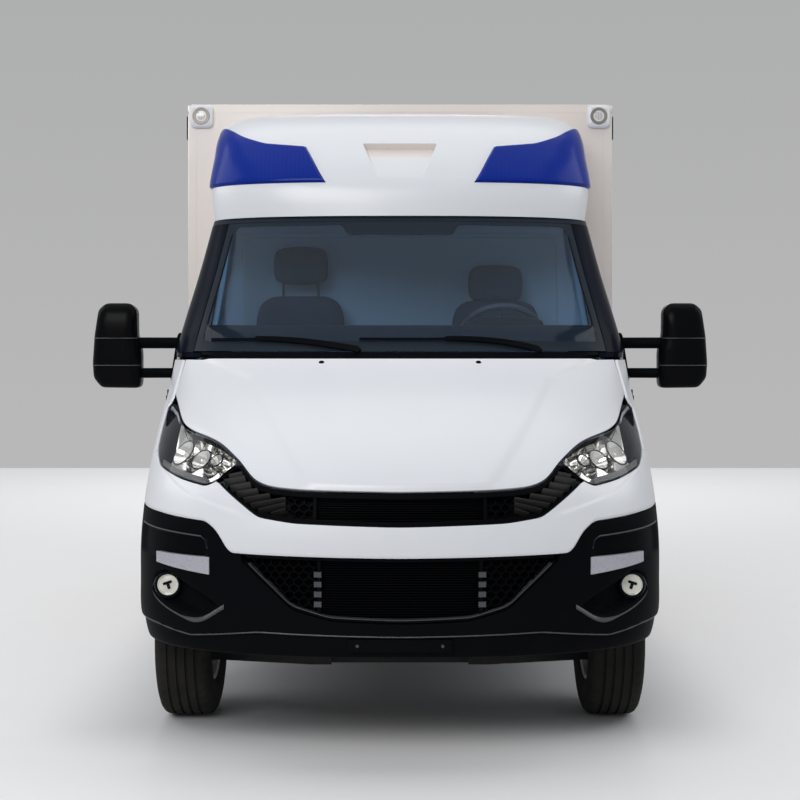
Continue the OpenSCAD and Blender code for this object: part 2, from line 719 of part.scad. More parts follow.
// Front wings and the liners of the front arches
function wing_low(y) = arch_top(y, arch_radius + 2);
wing_drop = 12;
WING_HIGH = concat([[bumper_end, bonnet_lip + 262]],
    [for (z = steps(bonnet_lip + 292, cowl_height - 6, 6)) [skin(CAB, bonnet_side + 0.8, z)[1], z - wing_drop]],
    [[wing_back, cowl_height - 6 - wing_drop]]);
function wing_high(y) = lookup(y, WING_HIGH);
function wing_rise(v) = mixed(wing_low(bumper_end), bonnet_lip + 275, v);
function wing_start(v) = max(bumper_end + seam, skin(CAB, 70, wing_rise(v))[1] + shut_gap);
// Share of the height at which row v meets the lamp and bumper
function wing_share(v) =
    let(y = wing_start(v))
    (wing_rise(v) - wing_low(y)) / (wing_high(y) - wing_low(y));
module front_wings() {
    cols = 14;
    rows = 7;
    spots = [for (v = steps(0, 1, rows)) [for (u = steps(0, 1, cols))
        let(y = mixed(wing_start(v), wing_back, u))
        [y, mixed(wing_low(y), wing_high(y), mixed(wing_share(v), v, u))]]];
    color("#e4e6ec")
        both_sides()
            shell([for (r = spots) [for (s = r) [side_x(CAB, s[0], s[1]), s[0], s[1]]]],
                  [for (r = spots) [for (s = r) [side_x(CAB, s[0], s[1]) - panel, s[0], s[1]]]]);
}
liner_in = min(track / 2 - 250, cab_half - 393);
module wheel_liners() {
    color("#141517")
        both_sides()
            difference() {
                round_x(liner_in, cab_half - 30, front_axle, axle_height, arch_radius - seam);
                round_x(liner_in - 1, cab_half - 29, front_axle, axle_height, arch_radius - seam - liner_wall);
                block([0, 0, -arch_radius], [cab_half + 10, cab_length, axle_height + 90]);
            }
}

// Dashboard with steering column
wheel_centre = [cab_half - 545, front_axle + 540, cowl_height + 80];
column_tilt = 40;
column_radius = 16;
module along_column() {
    translate(wheel_centre)
        rotate([column_tilt - 90, 0, 0])
            children();
}
module dashboard() {
    face = firewall + firewall_thick + seam;
    color("#2a2c30") {
        along_x(-cab_half + 150, cab_half - 150)
            polygon([[face, cowl_height - 340], [face, cowl_height + 10], [face - 90, cowl_height + 30],
                     [face - 80, cowl_height + 66], [face + 40, cowl_height + 118], [face + 170, cowl_height + 110],
                     [face + 215, cowl_height + 20], [face + 160, cowl_height - 230], [face + 90, cowl_height - 340]]);
        along_column()
            translate([0, 0, -260])
                cylinder(h = 275, r = column_radius);
    }
}
wheel_ring = 190;
module steering_wheel() {
    color("#1b1c1f")
        along_column()
            difference() {
                union() {
                    rotate_extrude()
                        translate([wheel_ring, 0])
                            circle(r = 14);
                    translate([0, 0, -30])
                        cylinder(h = 50, r = 48);
                    for (turn = [90, 210, 330])
                        rotate([0, 0, turn])
                            translate([30, -16, -8])
                                cube([wheel_ring - 32, 32, 14]);
                }
                translate([0, 0, -31])
                    cylinder(h = 46 + seam, r = column_radius + running);
            }
}

// Two single seats
seat_x = cab_half - 545;
module seats() {
    back = back_wall_front - 30;
    color("#3b4149")
        both_sides() {
            along_x(seat_x - 200, seat_x + 200)
                polygon([[back - 520, cab_floor_top + seam], [back - 100, cab_floor_top + seam],
                         [back - 100, cab_floor_top + 261], [back - 520, cab_floor_top + 261]]);
            along_x(seat_x - 250, seat_x + 250)
                offset(r = 30)
                    polygon([[back - 560, cab_floor_top + 290], [back - 560, cab_floor_top + 370],
                             [back - 220, cab_floor_top + 350], [back - 130, cab_floor_top + 1010],
                             [back - 60, cab_floor_top + 1010], [back - 120, cab_floor_top + 290]]);
            along_x(seat_x - 130, seat_x + 130)
                offset(r = 25)
                    polygon([[back - 125, cab_floor_top + 1040], [back - 110, cab_floor_top + 1200],
                             [back - 55, cab_floor_top + 1200], [back - 65, cab_floor_top + 1030]]);
        }
}

// Wiper blades parked along the foot of the glass, each with its arm
module wiper_strip(angles, line, half_height, inner, outer) {
    shell([for (v = [-1, 1]) [for (a = angles) glass_point(a, line(a) + v * half_height, outer)]],
          [for (v = [-1, 1]) [for (a = angles) glass_point(a, line(a) + v * half_height, inner)]]);
}
module wiper(from, to, pivot) {
    middle = mixed(from, to, 0.55);
    foot = cowl_top + 6;
    blade_line = cowl_top + 53;
    wiper_strip(steps(from, to, 8), function(a) blade_line, 6, 2 * seam, 8);
    wiper_strip(steps(min(pivot, middle), max(pivot, middle), 8),
                function(a) mixed(foot, blade_line, (a - pivot) / (middle - pivot)), 8, 7, 13);
    bar(glass_point(pivot, foot, 8 * seam), glass_point(pivot, foot, 14), 10);
}
module wipers() {
    color("#0d0e0f") {
        wiper(-52, -20, -7);
        wiper(-7, 20, 32);
    }
}

// Load floor on two bearers
module box_floor() {
    color("#8d8f92") {
        block([-box_half + box_wall + seam, box_front + box_wall + seam, floor_base_box],
              [box_half - box_wall - seam, box_end, floor_top]);
        both_sides()
            block([rail_in, box_front + box_wall + 20, rail_top + seam], [rail_out, box_end - 20, floor_base_box + 1]);
    }
}
module box_front_wall() {
    color("#d2cec9")
        block([-box_half + box_wall + seam, box_front, rail_top + 60],
              [box_half - box_wall - seam, box_front + box_wall, roof_base_box - seam]);
}

// Side walls with skirts; hinge knuckles for the rear and side doors
rear_hinges = [floor_top + 170, mixed(floor_top, roof_base_box, 0.5), roof_base_box - 170];
box_window_length = 900;
rear_window_inset = 369;
box_windows_left = [box_front + 620, box_end - rear_window_inset - box_window_length];
side_hinges = [side_door_base + 220, side_door_top - 220];
arch_half_rear = tyre_radius + 75;
module wall_plate() {
    difference() {
        block([box_half - box_wall, box_front, skirt_base], [box_half, box_end, roof_base_box - seam]);
        round_x(box_half - box_wall - 1, box_half + 1, rear_axle, axle_height, arch_half_rear);
    }
    for (z = rear_hinges) {
        block([box_half - 1, box_end - 90, z - leaf_half], [box_hinge_out, box_hinge_station, z + leaf_half]);
        round_z(z - leaf_half, z + leaf_half, box_hinge_out, box_hinge_station, 8);
        round_z(z - leaf_half - 26, z + leaf_half + 26, box_hinge_out, box_hinge_station, pin_radius);
    }
}
module window_hole(y) {
    along_x(box_half - box_wall - 1, box_half + 1)
        translate([y + box_window_length / 2, box_window_base + box_window_height / 2])
            rounded(box_window_length, box_window_height, 60);
}
module box_left_wall() {
    color("#d2cec9")
        difference() {
            wall_plate();
            for (y = box_windows_left)
                window_hole(y);
        }
}
module box_right_wall() {
    color("#d2cec9")
        on_side(-1) {
            difference() {
                wall_plate();
                window_hole(box_windows_left[1]);
                block([box_half - box_wall - 1, side_door_front, side_door_base],
                      [box_half + 1, side_door_back, side_door_top]);
            }
            for (z = side_hinges) {
                block([box_half - 1, side_door_front - 80, z - leaf_half],
                      [box_half + 8, side_door_front + shut_gap / 2, z + leaf_half]);
                round_z(z - leaf_half, z + leaf_half, box_half + 8, side_door_front + shut_gap / 2, 8);
                round_z(z - leaf_half - 26, z + leaf_half + 26, box_half + 8, side_door_front + shut_gap / 2, pin_radius);
            }
        }
}
module box_roof() {
    color("#d2cec9")
        along_y(box_front, box_end)
            polygon([[-box_half, roof_base_box], [box_half, roof_base_box], [box_half, box_top - 14],
                     [box_half - 14, box_top], [-box_half + 14, box_top], [-box_half, box_top - 14]]);
}
module box_pane(y) {
    along_x(box_half - 24, box_half - 14)
        translate([y + box_window_length / 2, box_window_base + box_window_height / 2])
            rounded(box_window_length - 2 * seam, box_window_height - 2 * seam, 60);
}
module box_windows() {
    color("#39444d") {
        for (y = box_windows_left)
            box_pane(y);
        on_side(-1)
            box_pane(box_windows_left[1]);
    }
}

// Corner lamps and side markers of the box, tail lamps on the rear panel
module body_lamps() {
    color("#d9d6cf")
        both_sides() {
            along_y(box_front - 34, box_front - seam)
                translate([box_half - 66, box_top - 62])
                    rounded(114, 114, 24);
            block([box_half + seam, box_front + 40, box_top - 170], [box_half + 16, box_front + 70, box_top - 50]);
            block([box_half + seam, box_end - 260, box_top - 170], [box_half + 16, box_end - 230, box_top - 50]);
            along_y(box_door_back + seam, box_door_back + 36)
                translate([box_half - 110, mixed(step_top, floor_top, 0.5) - 10])
                    rounded(120, 220, 20);
        }
}

// Rear panel with tail step
module rear_bumper() {
    color("#2c2e31") {
        block([-box_half + 10, box_end + seam, step_top - 1], [box_half - 10, box_door_back, floor_top - shut_gap - 8]);
        block([-box_half + 40, box_end + seam, skirt_base], [box_half - 40, overall_length, step_top]);
    }
}

// Bonnet with hinge arms
module bonnet() {
    low = function(a) bonnet_low(a);
    high = function(a) cowl_height - 9;
    arm_z = cowl_height - 62;
    arm_x = beam_half + 18;
    root = under(CAB, angle_of(CAB, arm_x, arm_z), arm_z, panel * 0.6);
    color("#e4e6ec") {
        panel_of(CAB, steps(-bonnet_side, bonnet_side, 24), low, high, 9, 0, panel);
        both_sides()
            difference() {
                along_x(arm_x - 9, arm_x + 9)
                    hull() {
                        translate([bonnet_pin_station, bonnet_pin_height])
                            circle(r = 2 * pin_radius + 4);
                        translate([root[1], root[2]])
                            circle(r = 4);
                        translate([root[1] + 30, root[2] - 24])
                            circle(r = 6);
                    }
                round_x(arm_x - 10, arm_x + 10, bonnet_pin_station, bonnet_pin_height, 2 * pin_radius + running);
            }
    }
}

// Cab doors: side skin between the door edges, with window and outside hinge knuckles
function pillar_line(z) = skin(CAB, pillar_end, z)[1];
function door_outline(inset) = concat(
    [[door_front + inset, door_base + inset], [door_front + inset, cowl_top]],
    [for (z = steps(cowl_top + 30, door_top - inset, 8)) [max(pillar_line(z) + shut_gap + 12 + inset, door_front + inset), z]],
    [[door_back - inset, door_top - inset], [door_back - inset, door_base + inset]]);
window_base = cowl_height - 50;
window_rim = 66;
function window_outline(gap) = concat(
    [[door_front + window_rim + gap, window_base + gap]],
    [for (z = steps(cowl_top + 40, door_top - window_rim - gap, 8))
        [max(pillar_line(z) + shut_gap + window_rim + gap, door_front + window_rim + gap), z]],
    [[door_back - window_rim - gap, door_top - window_rim - gap], [door_back - window_rim - gap, window_base + gap]]);
module cab_door(side) {
    color("#e4e6ec")
        on_side(side) {
            difference() {
                intersection() {
                    along_y(door_front - 1, door_back + 1)
                        side_strip(door_base, door_top, 0, door_thick, 16);
                    along_x(0, cab_half + 10)
                        polygon(door_outline(0));
                }
                along_x(0, cab_half + 10)
                    polygon(window_outline(0));
                round_x(0, cab_half + 10, front_axle, axle_height, arch_radius + 8);
            }
            for (z = door_hinges)
                difference() {
                    for (end = [-1, 1])
                        translate([0, 0, z + end * (leaf_half + 13.5)]) {
                            block([half_at(z) - 12, door_front - 1, -12.5], [hinge_out + 4, door_front + 46, 12.5]);
                            round_z(-12.5, 12.5, hinge_out, hinge_station, knuckle_radius);
                        }
                    round_z(z - 60, z + 60, hinge_out, hinge_station, pin_radius + running);
                }
        }
}
module door_glass(side) {
    color("#41525f", 0.6)
        on_side(side)
            intersection() {
                along_y(door_front, door_back)
                    side_strip(window_base, door_top - window_rim, 22, 28, 10);
                along_x(0, cab_half)
                    polygon(window_outline(seam));
            }
}

// Door mirrors on twin arms
mirror_front = hinge_station - 55;
mirror_depth = 110;
mirror_base_z = [cowl_height - 112, cowl_height + 106];
module mirror_arm(z, height) {
    along_y(mirror_front + 60, mirror_front + 104)
        polygon([[half_at(z) + 6, z - height / 2 - 8], [cab_half + 150, z - height / 2],
                 [cab_half + 150, z + height / 2], [half_at(z) + 6, z + height / 2 + 8]]);
}
module door_mirror(side) {
    color("#0c0d0e")
        on_side(side) {
            along_y(mirror_front, mirror_front + mirror_depth)
                translate([cab_half + 124, cowl_height - 138])
                    offset(r = 14)
                        polygon([[16, 14], [168, 16], [196, 50], [200, 110], [192, 230], [176, 336], [150, 358],
                                 [52, 358], [34, 336], [32, 230], [14, 160], [14, 30]]);
            along_y(door_front + 14, door_front + 110)
                side_strip(mirror_base_z[0], mirror_base_z[1], -22, -seam, 4);
            mirror_arm(cowl_height + 60, 48);
            mirror_arm(cowl_height - 72, 44);
        }
}

// Rear doors of the box
rear_door_base = floor_top - shut_gap;
module rear_pane_outline(gap) {
    translate([box_half * 0.5, box_window_base + box_window_height / 2])
        rounded(box_half * 0.62 - 2 * gap, box_window_height - 2 * gap, 60);
}
module rear_door(side) {
    color("#d2cec9")
        on_side(side) {
            difference() {
                block([shut_gap / 2, box_door_front, rear_door_base], [box_half - 5, box_door_back, box_top - 20]);
                along_y(box_door_front - 1, box_door_back + 1)
                    rear_pane_outline(0);
            }
            for (z = rear_hinges)
                difference() {
                    for (end = [-1, 1])
                        translate([0, 0, z + end * (leaf_half + 13.5)]) {
                            block([box_half - 80, box_door_back - 1, -12.5], [box_hinge_out, box_hinge_station, 12.5]);
                            round_z(-12.5, 12.5, box_hinge_out, box_hinge_station, 8);
                        }
                    round_z(z - 60, z + 60, box_hinge_out, box_hinge_station, pin_radius + running);
                }
        }
}
module rear_glass(side) {
    color("#39444d")
        on_side(side)
            along_y(box_door_back - 24, box_door_back - 14)
                rear_pane_outline(seam);
}

// Hinged door in the right wall
module side_pane_outline(gap) {
    translate([mixed(side_door_front, side_door_back, 0.5), box_window_base + box_window_height / 2])
        rounded(side_door_length - 260 - 2 * gap, box_window_height - 2 * gap, 60);
}
module side_door() {
    color("#d2cec9")
        on_side(-1) {
            difference() {
                block([box_half - box_wall, side_door_front + shut_gap, side_door_base + shut_gap],
                      [box_half, side_door_back - shut_gap, side_door_top - shut_gap]);
                along_x(box_half - box_wall - 1, box_half + 1)
                    side_pane_outline(0);
            }
            for (z = side_hinges)
                difference() {
                    for (end = [-1, 1])
                        translate([0, 0, z + end * (leaf_half + 13.5)]) {
                            block([box_half - 1, side_door_front + shut_gap / 2, -12.5],
                                  [box_half + 8, side_door_front + 90, 12.5]);
                            round_z(-12.5, 12.5, box_half + 8, side_door_front + shut_gap / 2, 8);
                        }
                    round_z(z - 60, z + 60, box_half + 8, side_door_front + shut_gap / 2, pin_radius + running);
                }
        }
}
module side_glass() {
    color("#39444d")
        on_side(-1)
            along_x(box_half - 24, box_half - 14)
                side_pane_outline(seam);
}

// Wheels
groove_width = 9;
groove_depth = 8;
module tyre_section() {
    half = tyre_width / 2;
    wall = tyre_radius - rim_radius;
    difference() {
        polygon([[rim_radius + seam, -half + 18], [rim_radius + 0.25 * wall, -half + 4], [rim_radius + 0.5 * wall, -half],
                 [rim_radius + 0.75 * wall, -half + 6], [tyre_radius - 14, -half + 16], [tyre_radius - 4, -half + 28],
                 [tyre_radius, -half + 46], [tyre_radius, half - 46], [tyre_radius - 4, half - 28],
                 [tyre_radius - 14, half - 16], [rim_radius + 0.75 * wall, half - 6], [rim_radius + 0.5 * wall, half],
                 [rim_radius + 0.25 * wall, half - 4], [rim_radius + seam, half - 18]]);
        for (k = [-1.5:1:1.5])
            translate([tyre_radius - groove_depth, k * 36 - groove_width / 2])
                square([groove_depth + 1, groove_width]);
    }
}
module at_wheel(side, y) {
    on_side(side)
        translate([track / 2, y, axle_height])
            rotate([0, 90, 0])
                children();
}
module tyre(side, y) {
    color("#1c1c1d")
        at_wheel(side, y)
            rotate_extrude($fn = 96)
                tyre_section();
}
hub_radius = 88;
module rim(side, y) {
    half = tyre_width / 2;
    color("#9ea3a8")
        at_wheel(side, y)
            difference() {
                rotate_extrude($fn = 72)
                    polygon([[spindle_radius + running, 0], [hub_radius, 0], [hub_radius + 20, 20], [rim_radius - 40, 26],
                             [rim_radius - 22, 14], [rim_radius - 14, -half + 20], [rim_radius - 4, -half + 6],
                             [rim_radius, -half + 6], [rim_radius, half - 6], [rim_radius - 8, half - 6],
                             [rim_radius - 14, half - 22], [rim_radius - 24, 40], [hub_radius + 14, 34],
                             [hub_radius - 6, 14], [hub_radius - 24, 52], [spindle_radius + running, 52]]);
                for (turn = [0:45:315])
                    rotate([0, 0, turn])
                        translate([0.62 * rim_radius + 14, 0, -5])
                            cylinder(h = 60, r = 16);
            }
}

module place() {
    translate([0, -overall_length / 2, 0])
        children();
}
place() frame();
place() front_arms();
place() rear_suspension();
place() powertrain();
place() fuel_tank();
place() exhaust();
place() cab_shell();
place() cab_pillars();
place() windscreen();
place() roof_fairing();
place() beacons();
place() bumper_band();
place() bumper_lower();
place() grilles();
place() front_lamps();
place() front_wings();
place() wheel_liners();
place() dashboard();
place() seats();
place() wipers();
place() box_floor();
place() box_front_wall();
place() box_left_wall();
place() box_right_wall();
place() box_roof();
place() box_windows();
place() body_lamps();
place() rear_bumper();
place() bonnet();
place() cab_door(1);  // cab_door_left
place() cab_door(-1);  // cab_door_right
place() door_glass(1);  // door_glass_left
place() door_glass(-1);  // door_glass_right
place() door_mirror(1);  // mirror_left
place() door_mirror(-1);  // mirror_right
place() rear_door(1);  // rear_door_left
place() rear_door(-1);  // rear_door_right
place() rear_glass(1);  // rear_glass_left
place() rear_glass(-1);  // rear_glass_right
place() side_door();
place() side_glass();
place() knuckle(1);  // knuckle_left
place() knuckle(-1);  // knuckle_right
place() tyre(1, front_axle);  // tyre_front_left
place() tyre(-1, front_axle);  // tyre_front_right
place() tyre(1, rear_axle);  // tyre_rear_left
place() tyre(-1, rear_axle);  // tyre_rear_right
place() rim(1, front_axle);  // rim_front_left
place() rim(-1, front_axle);  // rim_front_right
place() rim(1, rear_axle);  // rim_rear_left
place() rim(-1, rear_axle);  // rim_rear_right
place() steering_wheel();
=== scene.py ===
"""Box-bodied ambulance van: panels, lamps, glass, cabin and wheels dressed over its solid model."""

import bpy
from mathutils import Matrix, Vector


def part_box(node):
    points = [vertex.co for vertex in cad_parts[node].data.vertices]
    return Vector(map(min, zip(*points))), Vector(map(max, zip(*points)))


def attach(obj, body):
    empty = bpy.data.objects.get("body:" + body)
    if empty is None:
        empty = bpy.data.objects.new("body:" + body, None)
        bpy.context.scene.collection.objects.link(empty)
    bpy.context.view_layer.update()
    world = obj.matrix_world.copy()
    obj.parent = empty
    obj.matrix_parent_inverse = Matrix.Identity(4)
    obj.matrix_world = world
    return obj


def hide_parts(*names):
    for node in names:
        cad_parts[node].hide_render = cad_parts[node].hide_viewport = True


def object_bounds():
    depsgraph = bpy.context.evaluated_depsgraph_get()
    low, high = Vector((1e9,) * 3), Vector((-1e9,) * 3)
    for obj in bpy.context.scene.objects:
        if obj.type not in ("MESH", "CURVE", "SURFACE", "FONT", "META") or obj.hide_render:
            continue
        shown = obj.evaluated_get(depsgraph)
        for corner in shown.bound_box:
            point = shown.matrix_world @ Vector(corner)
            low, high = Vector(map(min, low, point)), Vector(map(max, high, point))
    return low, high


bl_info = {
    "name": "Ambulance Van",
    "version": (1, 0, 0),
    "blender": (4, 5, 0),
    "location": "View3D > Sidebar > Van",
    "description": "Panels, lamps, glass, cabin, box trim and wheels of a box-bodied ambulance van",
    "category": "Add Mesh",
}

import math

import bmesh

import bpy

import numpy as np

from bpy.props import FloatProperty, FloatVectorProperty, PointerProperty

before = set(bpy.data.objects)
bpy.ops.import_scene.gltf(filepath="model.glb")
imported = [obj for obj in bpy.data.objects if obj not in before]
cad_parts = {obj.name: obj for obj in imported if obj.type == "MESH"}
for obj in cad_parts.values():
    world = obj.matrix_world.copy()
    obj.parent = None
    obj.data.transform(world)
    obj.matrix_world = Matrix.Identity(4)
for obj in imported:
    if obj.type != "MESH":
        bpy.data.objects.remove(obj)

CAD_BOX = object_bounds()

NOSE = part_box("bumper_band")[0].y

ORIGIN = np.array((0.0, NOSE, 0.0))

MM = 0.001

# Heights and half widths of the cab, in millimetres; stations run back from the nose
BUMPER_BASE, BAND_BASE, BAND_TOP = 385.0, 778.0, 886.0

LIP, COWL, HEADER = 1010.0, 1480.0, 2105.0

HALF = 1005.0

COWL_TOP = COWL + 17

ROOF_BASE = HEADER - 25

BUMPER_END = 650.0

PILLAR_START, PILLAR_END = 61.0, 88.0

BONNET_SIDE = 66.0

GAP = 6.0
# Bonnet's hinge pin, height of its arms' feet, washer jet across and up, plate holder, wheel arch, door
BONNET_PIN = np.array((818.0, 1008.0, 1464.0))

ARM_FOOT = 1418.0

WASHER = (315.0, 1456.0)

PLATE_Z = 468.0

ARCH = 426.0

DOOR_FRONT, DOOR_SILL = 1291.0, 501.0


def rise(share):
    """Height at a share of the way from the bonnet lip to the cowl."""
    return LIP + (COWL - LIP) * share


def screen(share):
    """Height at a share of the way up the windscreen."""
    return COWL + (HEADER - COWL) * share


# Body sections: height, nose station, half width, corner depth, squareness
CAB = np.array([
    (BUMPER_BASE - 25, 110, HALF - 55, 560, 2.5), (BUMPER_BASE + 35, 46, HALF - 20, 610, 2.5),
    (BUMPER_BASE + 135, 20, HALF - 2, 635, 2.5), (BUMPER_BASE + 255, 14, HALF, 645, 2.5),
    (BAND_BASE, 0, HALF, 670, 2.5), (BAND_TOP + 14, 14, HALF - 1, 725, 2.5),
    (LIP + 5, 52, HALF - 2, 805, 2.5), (rise(0.36), 200, HALF - 5, 880, 2.5),
    (rise(0.66), 440, HALF - 13, 830, 2.5), (COWL, 800, HALF - 30, 500, 2.4),
    (screen(0.2), 915, HALF - 55, 430, 2.4), (screen(0.6), 1165, HALF - 100, 380, 2.4),
    (HEADER, 1400, HALF - 140, 330, 2.4), (HEADER + 100, 1490, HALF - 158, 320, 2.4)])

CAB_LENGTH = 2140.0

FAIRING = np.array([
    (HEADER + 0.4, 1385, HALF - 147, 330, 2.4), (HEADER + 95, 1392, HALF - 131, 340, 2.5),
    (HEADER + 160, 1408, HALF - 127, 350, 2.6), (HEADER + 295, 1478, HALF - 139, 370, 2.7),
    (HEADER + 415, 1590, HALF - 147, 380, 2.9), (HEADER + 495, 1740, HALF - 181, 330, 3.0),
    (HEADER + 540, 1930, HALF - 275, 190, 3.0), (HEADER + 560, CAB_LENGTH - 5, HALF - 485, 10, 2.8)])

# Panel edges of the front view: angle round the nose, height
BONNET_EDGE = np.array([(0, LIP), (20, LIP + 12), (26, LIP + 36), (31, LIP + 102), (38, LIP + 162),
                        (53, LIP + 214), (61, LIP + 283), (66, LIP + 320)])

GRILLE_EDGE = np.array([(0, BAND_TOP), (17, BAND_TOP + 11), (25, BAND_TOP + 29), (37, BAND_TOP + 151)])

LAMP_LOW = np.array([(31, LIP + 92), (37, BAND_TOP + 151), (40.5, LIP + 8), (50, LIP + 25), (63, LIP + 57),
                     (68, LIP + 95), (70, LIP + 130)])

LAMP_TAIL = np.array([(60, LIP + 262), (66, LIP + 286), (70, LIP + 262)])

BAND_LOW = np.array([(0, BAND_BASE), (32.2, BAND_BASE + 10), (36, BAND_BASE + 84), (39.5, BAND_BASE + 116),
                     (61, BAND_BASE + 131), (78, BAND_BASE + 137), (90, BAND_BASE + 140)])

MOUTH_LOW = np.array([(0, BUMPER_BASE + 160), (10, BUMPER_BASE + 170), (17.5, BUMPER_BASE + 210),
                      (22, BUMPER_BASE + 280), (29, BUMPER_BASE + 380)])

LENS_HIGH = np.array([(16, HEADER + 318), (22.5, HEADER + 326), (38.5, HEADER + 348), (50, HEADER + 388),
                      (60, HEADER + 428), (70, HEADER + 456), (80, HEADER + 464), (98, HEADER + 452)])

BAND_CREASE = np.array([(25, BAND_TOP + 24), (47, LIP - 21), (57, LIP + 31), (66, LIP + 80), (90, LIP + 140)])

CHIN_LINE = np.array([(0, 498), (25, 508), (35, 492), (45, 478), (60, 500), (90, 512)])


def sized(name):
    """A size from the panel, in millimetres."""
    return getattr(bpy.context.scene.van_sizes, name) / MM


def span(node):
    """Lowest and highest corner of a solid, in millimetres from the nose."""
    low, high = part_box(node)
    return (np.array(low) - ORIGIN) / MM, (np.array(high) - ORIGIN) / MM


def ease(t):
    """Smooth step from 0 to 1: 3 t squared less 2 t cubed, held outside 0 to 1."""
    t = np.clip(t, 0, 1)
    return t * t * (3 - 2 * t)


def mix(a, b, t):
    """Value a share of the way from one to another."""
    return a + (b - a) * t


def even_runs(*runs):
    """Runs of even steps, each given as start, end and count, joined where they meet."""
    return np.concatenate([np.linspace(*run)[:-1] for run in runs[:-1]] + [np.linspace(*runs[-1])])


def both_sides(*runs):
    """Even runs out from the middle, with their mirror image before them."""
    half = even_runs(*runs)
    return np.concatenate([-half[:0:-1], half])


def curve_through(rows, column, at):
    """Cubic through a table's rows, with each slope taken from the rows on either side."""
    key, value = rows[:, 0], rows[:, column]
    at = np.asarray(at, float)
    last = len(key) - 1
    ahead, behind = np.minimum(np.arange(last + 1) + 1, last), np.maximum(np.arange(last + 1) - 1, 0)
    slope = (value[ahead] - value[behind]) / (key[ahead] - key[behind])
    i = np.clip(np.searchsorted(key, at, side="right") - 1, 0, last - 1)
    width = key[i + 1] - key[i]
    t = (at - key[i]) / width
    return (value[i] * (2 * t**3 - 3 * t**2 + 1) + slope[i] * width * (t**3 - 2 * t**2 + t)
            + value[i + 1] * (3 * t**2 - 2 * t**3) + slope[i + 1] * width * (t**3 - t**2))


def skin(rows, angle, z):
    """Body skin: a superellipse in plan at each height, 0 degrees at the nose, straight back past 90."""
    angle, z = np.broadcast_arrays(np.asarray(angle, float), np.asarray(z, float))
    power = 2 / curve_through(rows, 4, z)
    turn = np.radians(np.minimum(np.abs(angle), 90))
    x = np.sign(angle) * curve_through(rows, 2, z) * np.sin(turn) ** power
    y = curve_through(rows, 1, z) + curve_through(rows, 3, z) * (1 - np.maximum(np.cos(turn), 0) ** power)
    return np.stack([x, y + 10 * np.maximum(np.abs(angle) - 90, 0), z], -1)


def outward(rows, angle, z):
    """Unit normal of the skin: the cross product of its steps along the angle and the height."""
    angle, z = np.broadcast_arrays(np.asarray(angle, float), np.asarray(z, float))
    across = skin(rows, angle + 0.5, z) - skin(rows, angle - 0.5, z)
    up = skin(rows, angle, z + 1) - skin(rows, angle, z - 1)
    normal = np.cross(across, up)
    return normal / np.linalg.norm(normal, axis=-1, keepdims=True)


def under(rows, angle, z, depth):
    """Point of the skin moved inwards along its normal."""
    return skin(rows, angle, z) - np.asarray(depth, float)[..., None] * outward(rows, angle, z)


def angle_at(rows, y, z):
    """Angle at which the skin reaches a station."""
    share = (y - curve_through(rows, 1, z)) / curve_through(rows, 3, z)
    near = np.degrees(np.arccos(np.clip(1 - share, 0, 1) ** (curve_through(rows, 4, z) / 2)))
    return np.where(share >= 1, 90 + (share - 1) * curve_through(rows, 3, z) / 10, near)


def angle_of(rows, x, z):
    """Angle at which the skin reaches a distance from the middle."""
    return np.degrees(np.arcsin(np.clip(np.abs(x) / curve_through(rows, 2, z), 0, 1)
                                ** (curve_through(rows, 4, z) / 2)))


def side_x(y, z):
    """Half width of the cab skin at a station and height."""
    n = curve_through(CAB, 4, z)
    share = np.clip((y - curve_through(CAB, 1, z)) / curve_through(CAB, 3, z), 0, 1)
    return curve_through(CAB, 2, z) * (1 - (1 - share) ** n) ** (1 / n)


def half_at(z):
    """Half width of the cab at its widest, by height."""
    return curve_through(CAB, 2, z)


def edge(table, angle):
    """Height of a panel edge: straight between the table's corners, averaged over a short span."""
    spread = np.linspace(-1.2, 1.2, 9)
    return np.mean([np.interp(np.abs(angle) + s, table[:, 0], table[:, 1]) for s in spread], axis=0)


def bonnet_low(angle):
    """Height of the bonnet's front edge: a cubic through its table."""
    return curve_through(BONNET_EDGE, 1, np.abs(angle))


def lamp_high(angle):
    """Height of the headlamp's upper edge: under the bonnet, then round its tail."""
    angle = np.abs(angle)
    return np.where(angle <= 60, bonnet_low(angle) - GAP - 3, edge(LAMP_TAIL, angle))


def band_high(angle):
    """Height of the band's upper edge: under the grille, then under the headlamp."""
    angle = np.abs(angle)
    return np.where(angle < 37.5, edge(GRILLE_EDGE, angle), edge(LAMP_LOW, angle) - 2)


def quads(rows, cols, wrap=False):
    """Corner numbers of the cells of a grid, joined round in its columns where wrap is set."""
    i, j = np.meshgrid(np.arange(rows - 1), np.arange(cols if wrap else cols - 1), indexing="ij")
    k = (j + 1) % cols
    return np.stack([i * cols + j, i * cols + k, (i + 1) * cols + k, (i + 1) * cols + j], -1).reshape(-1, 4)


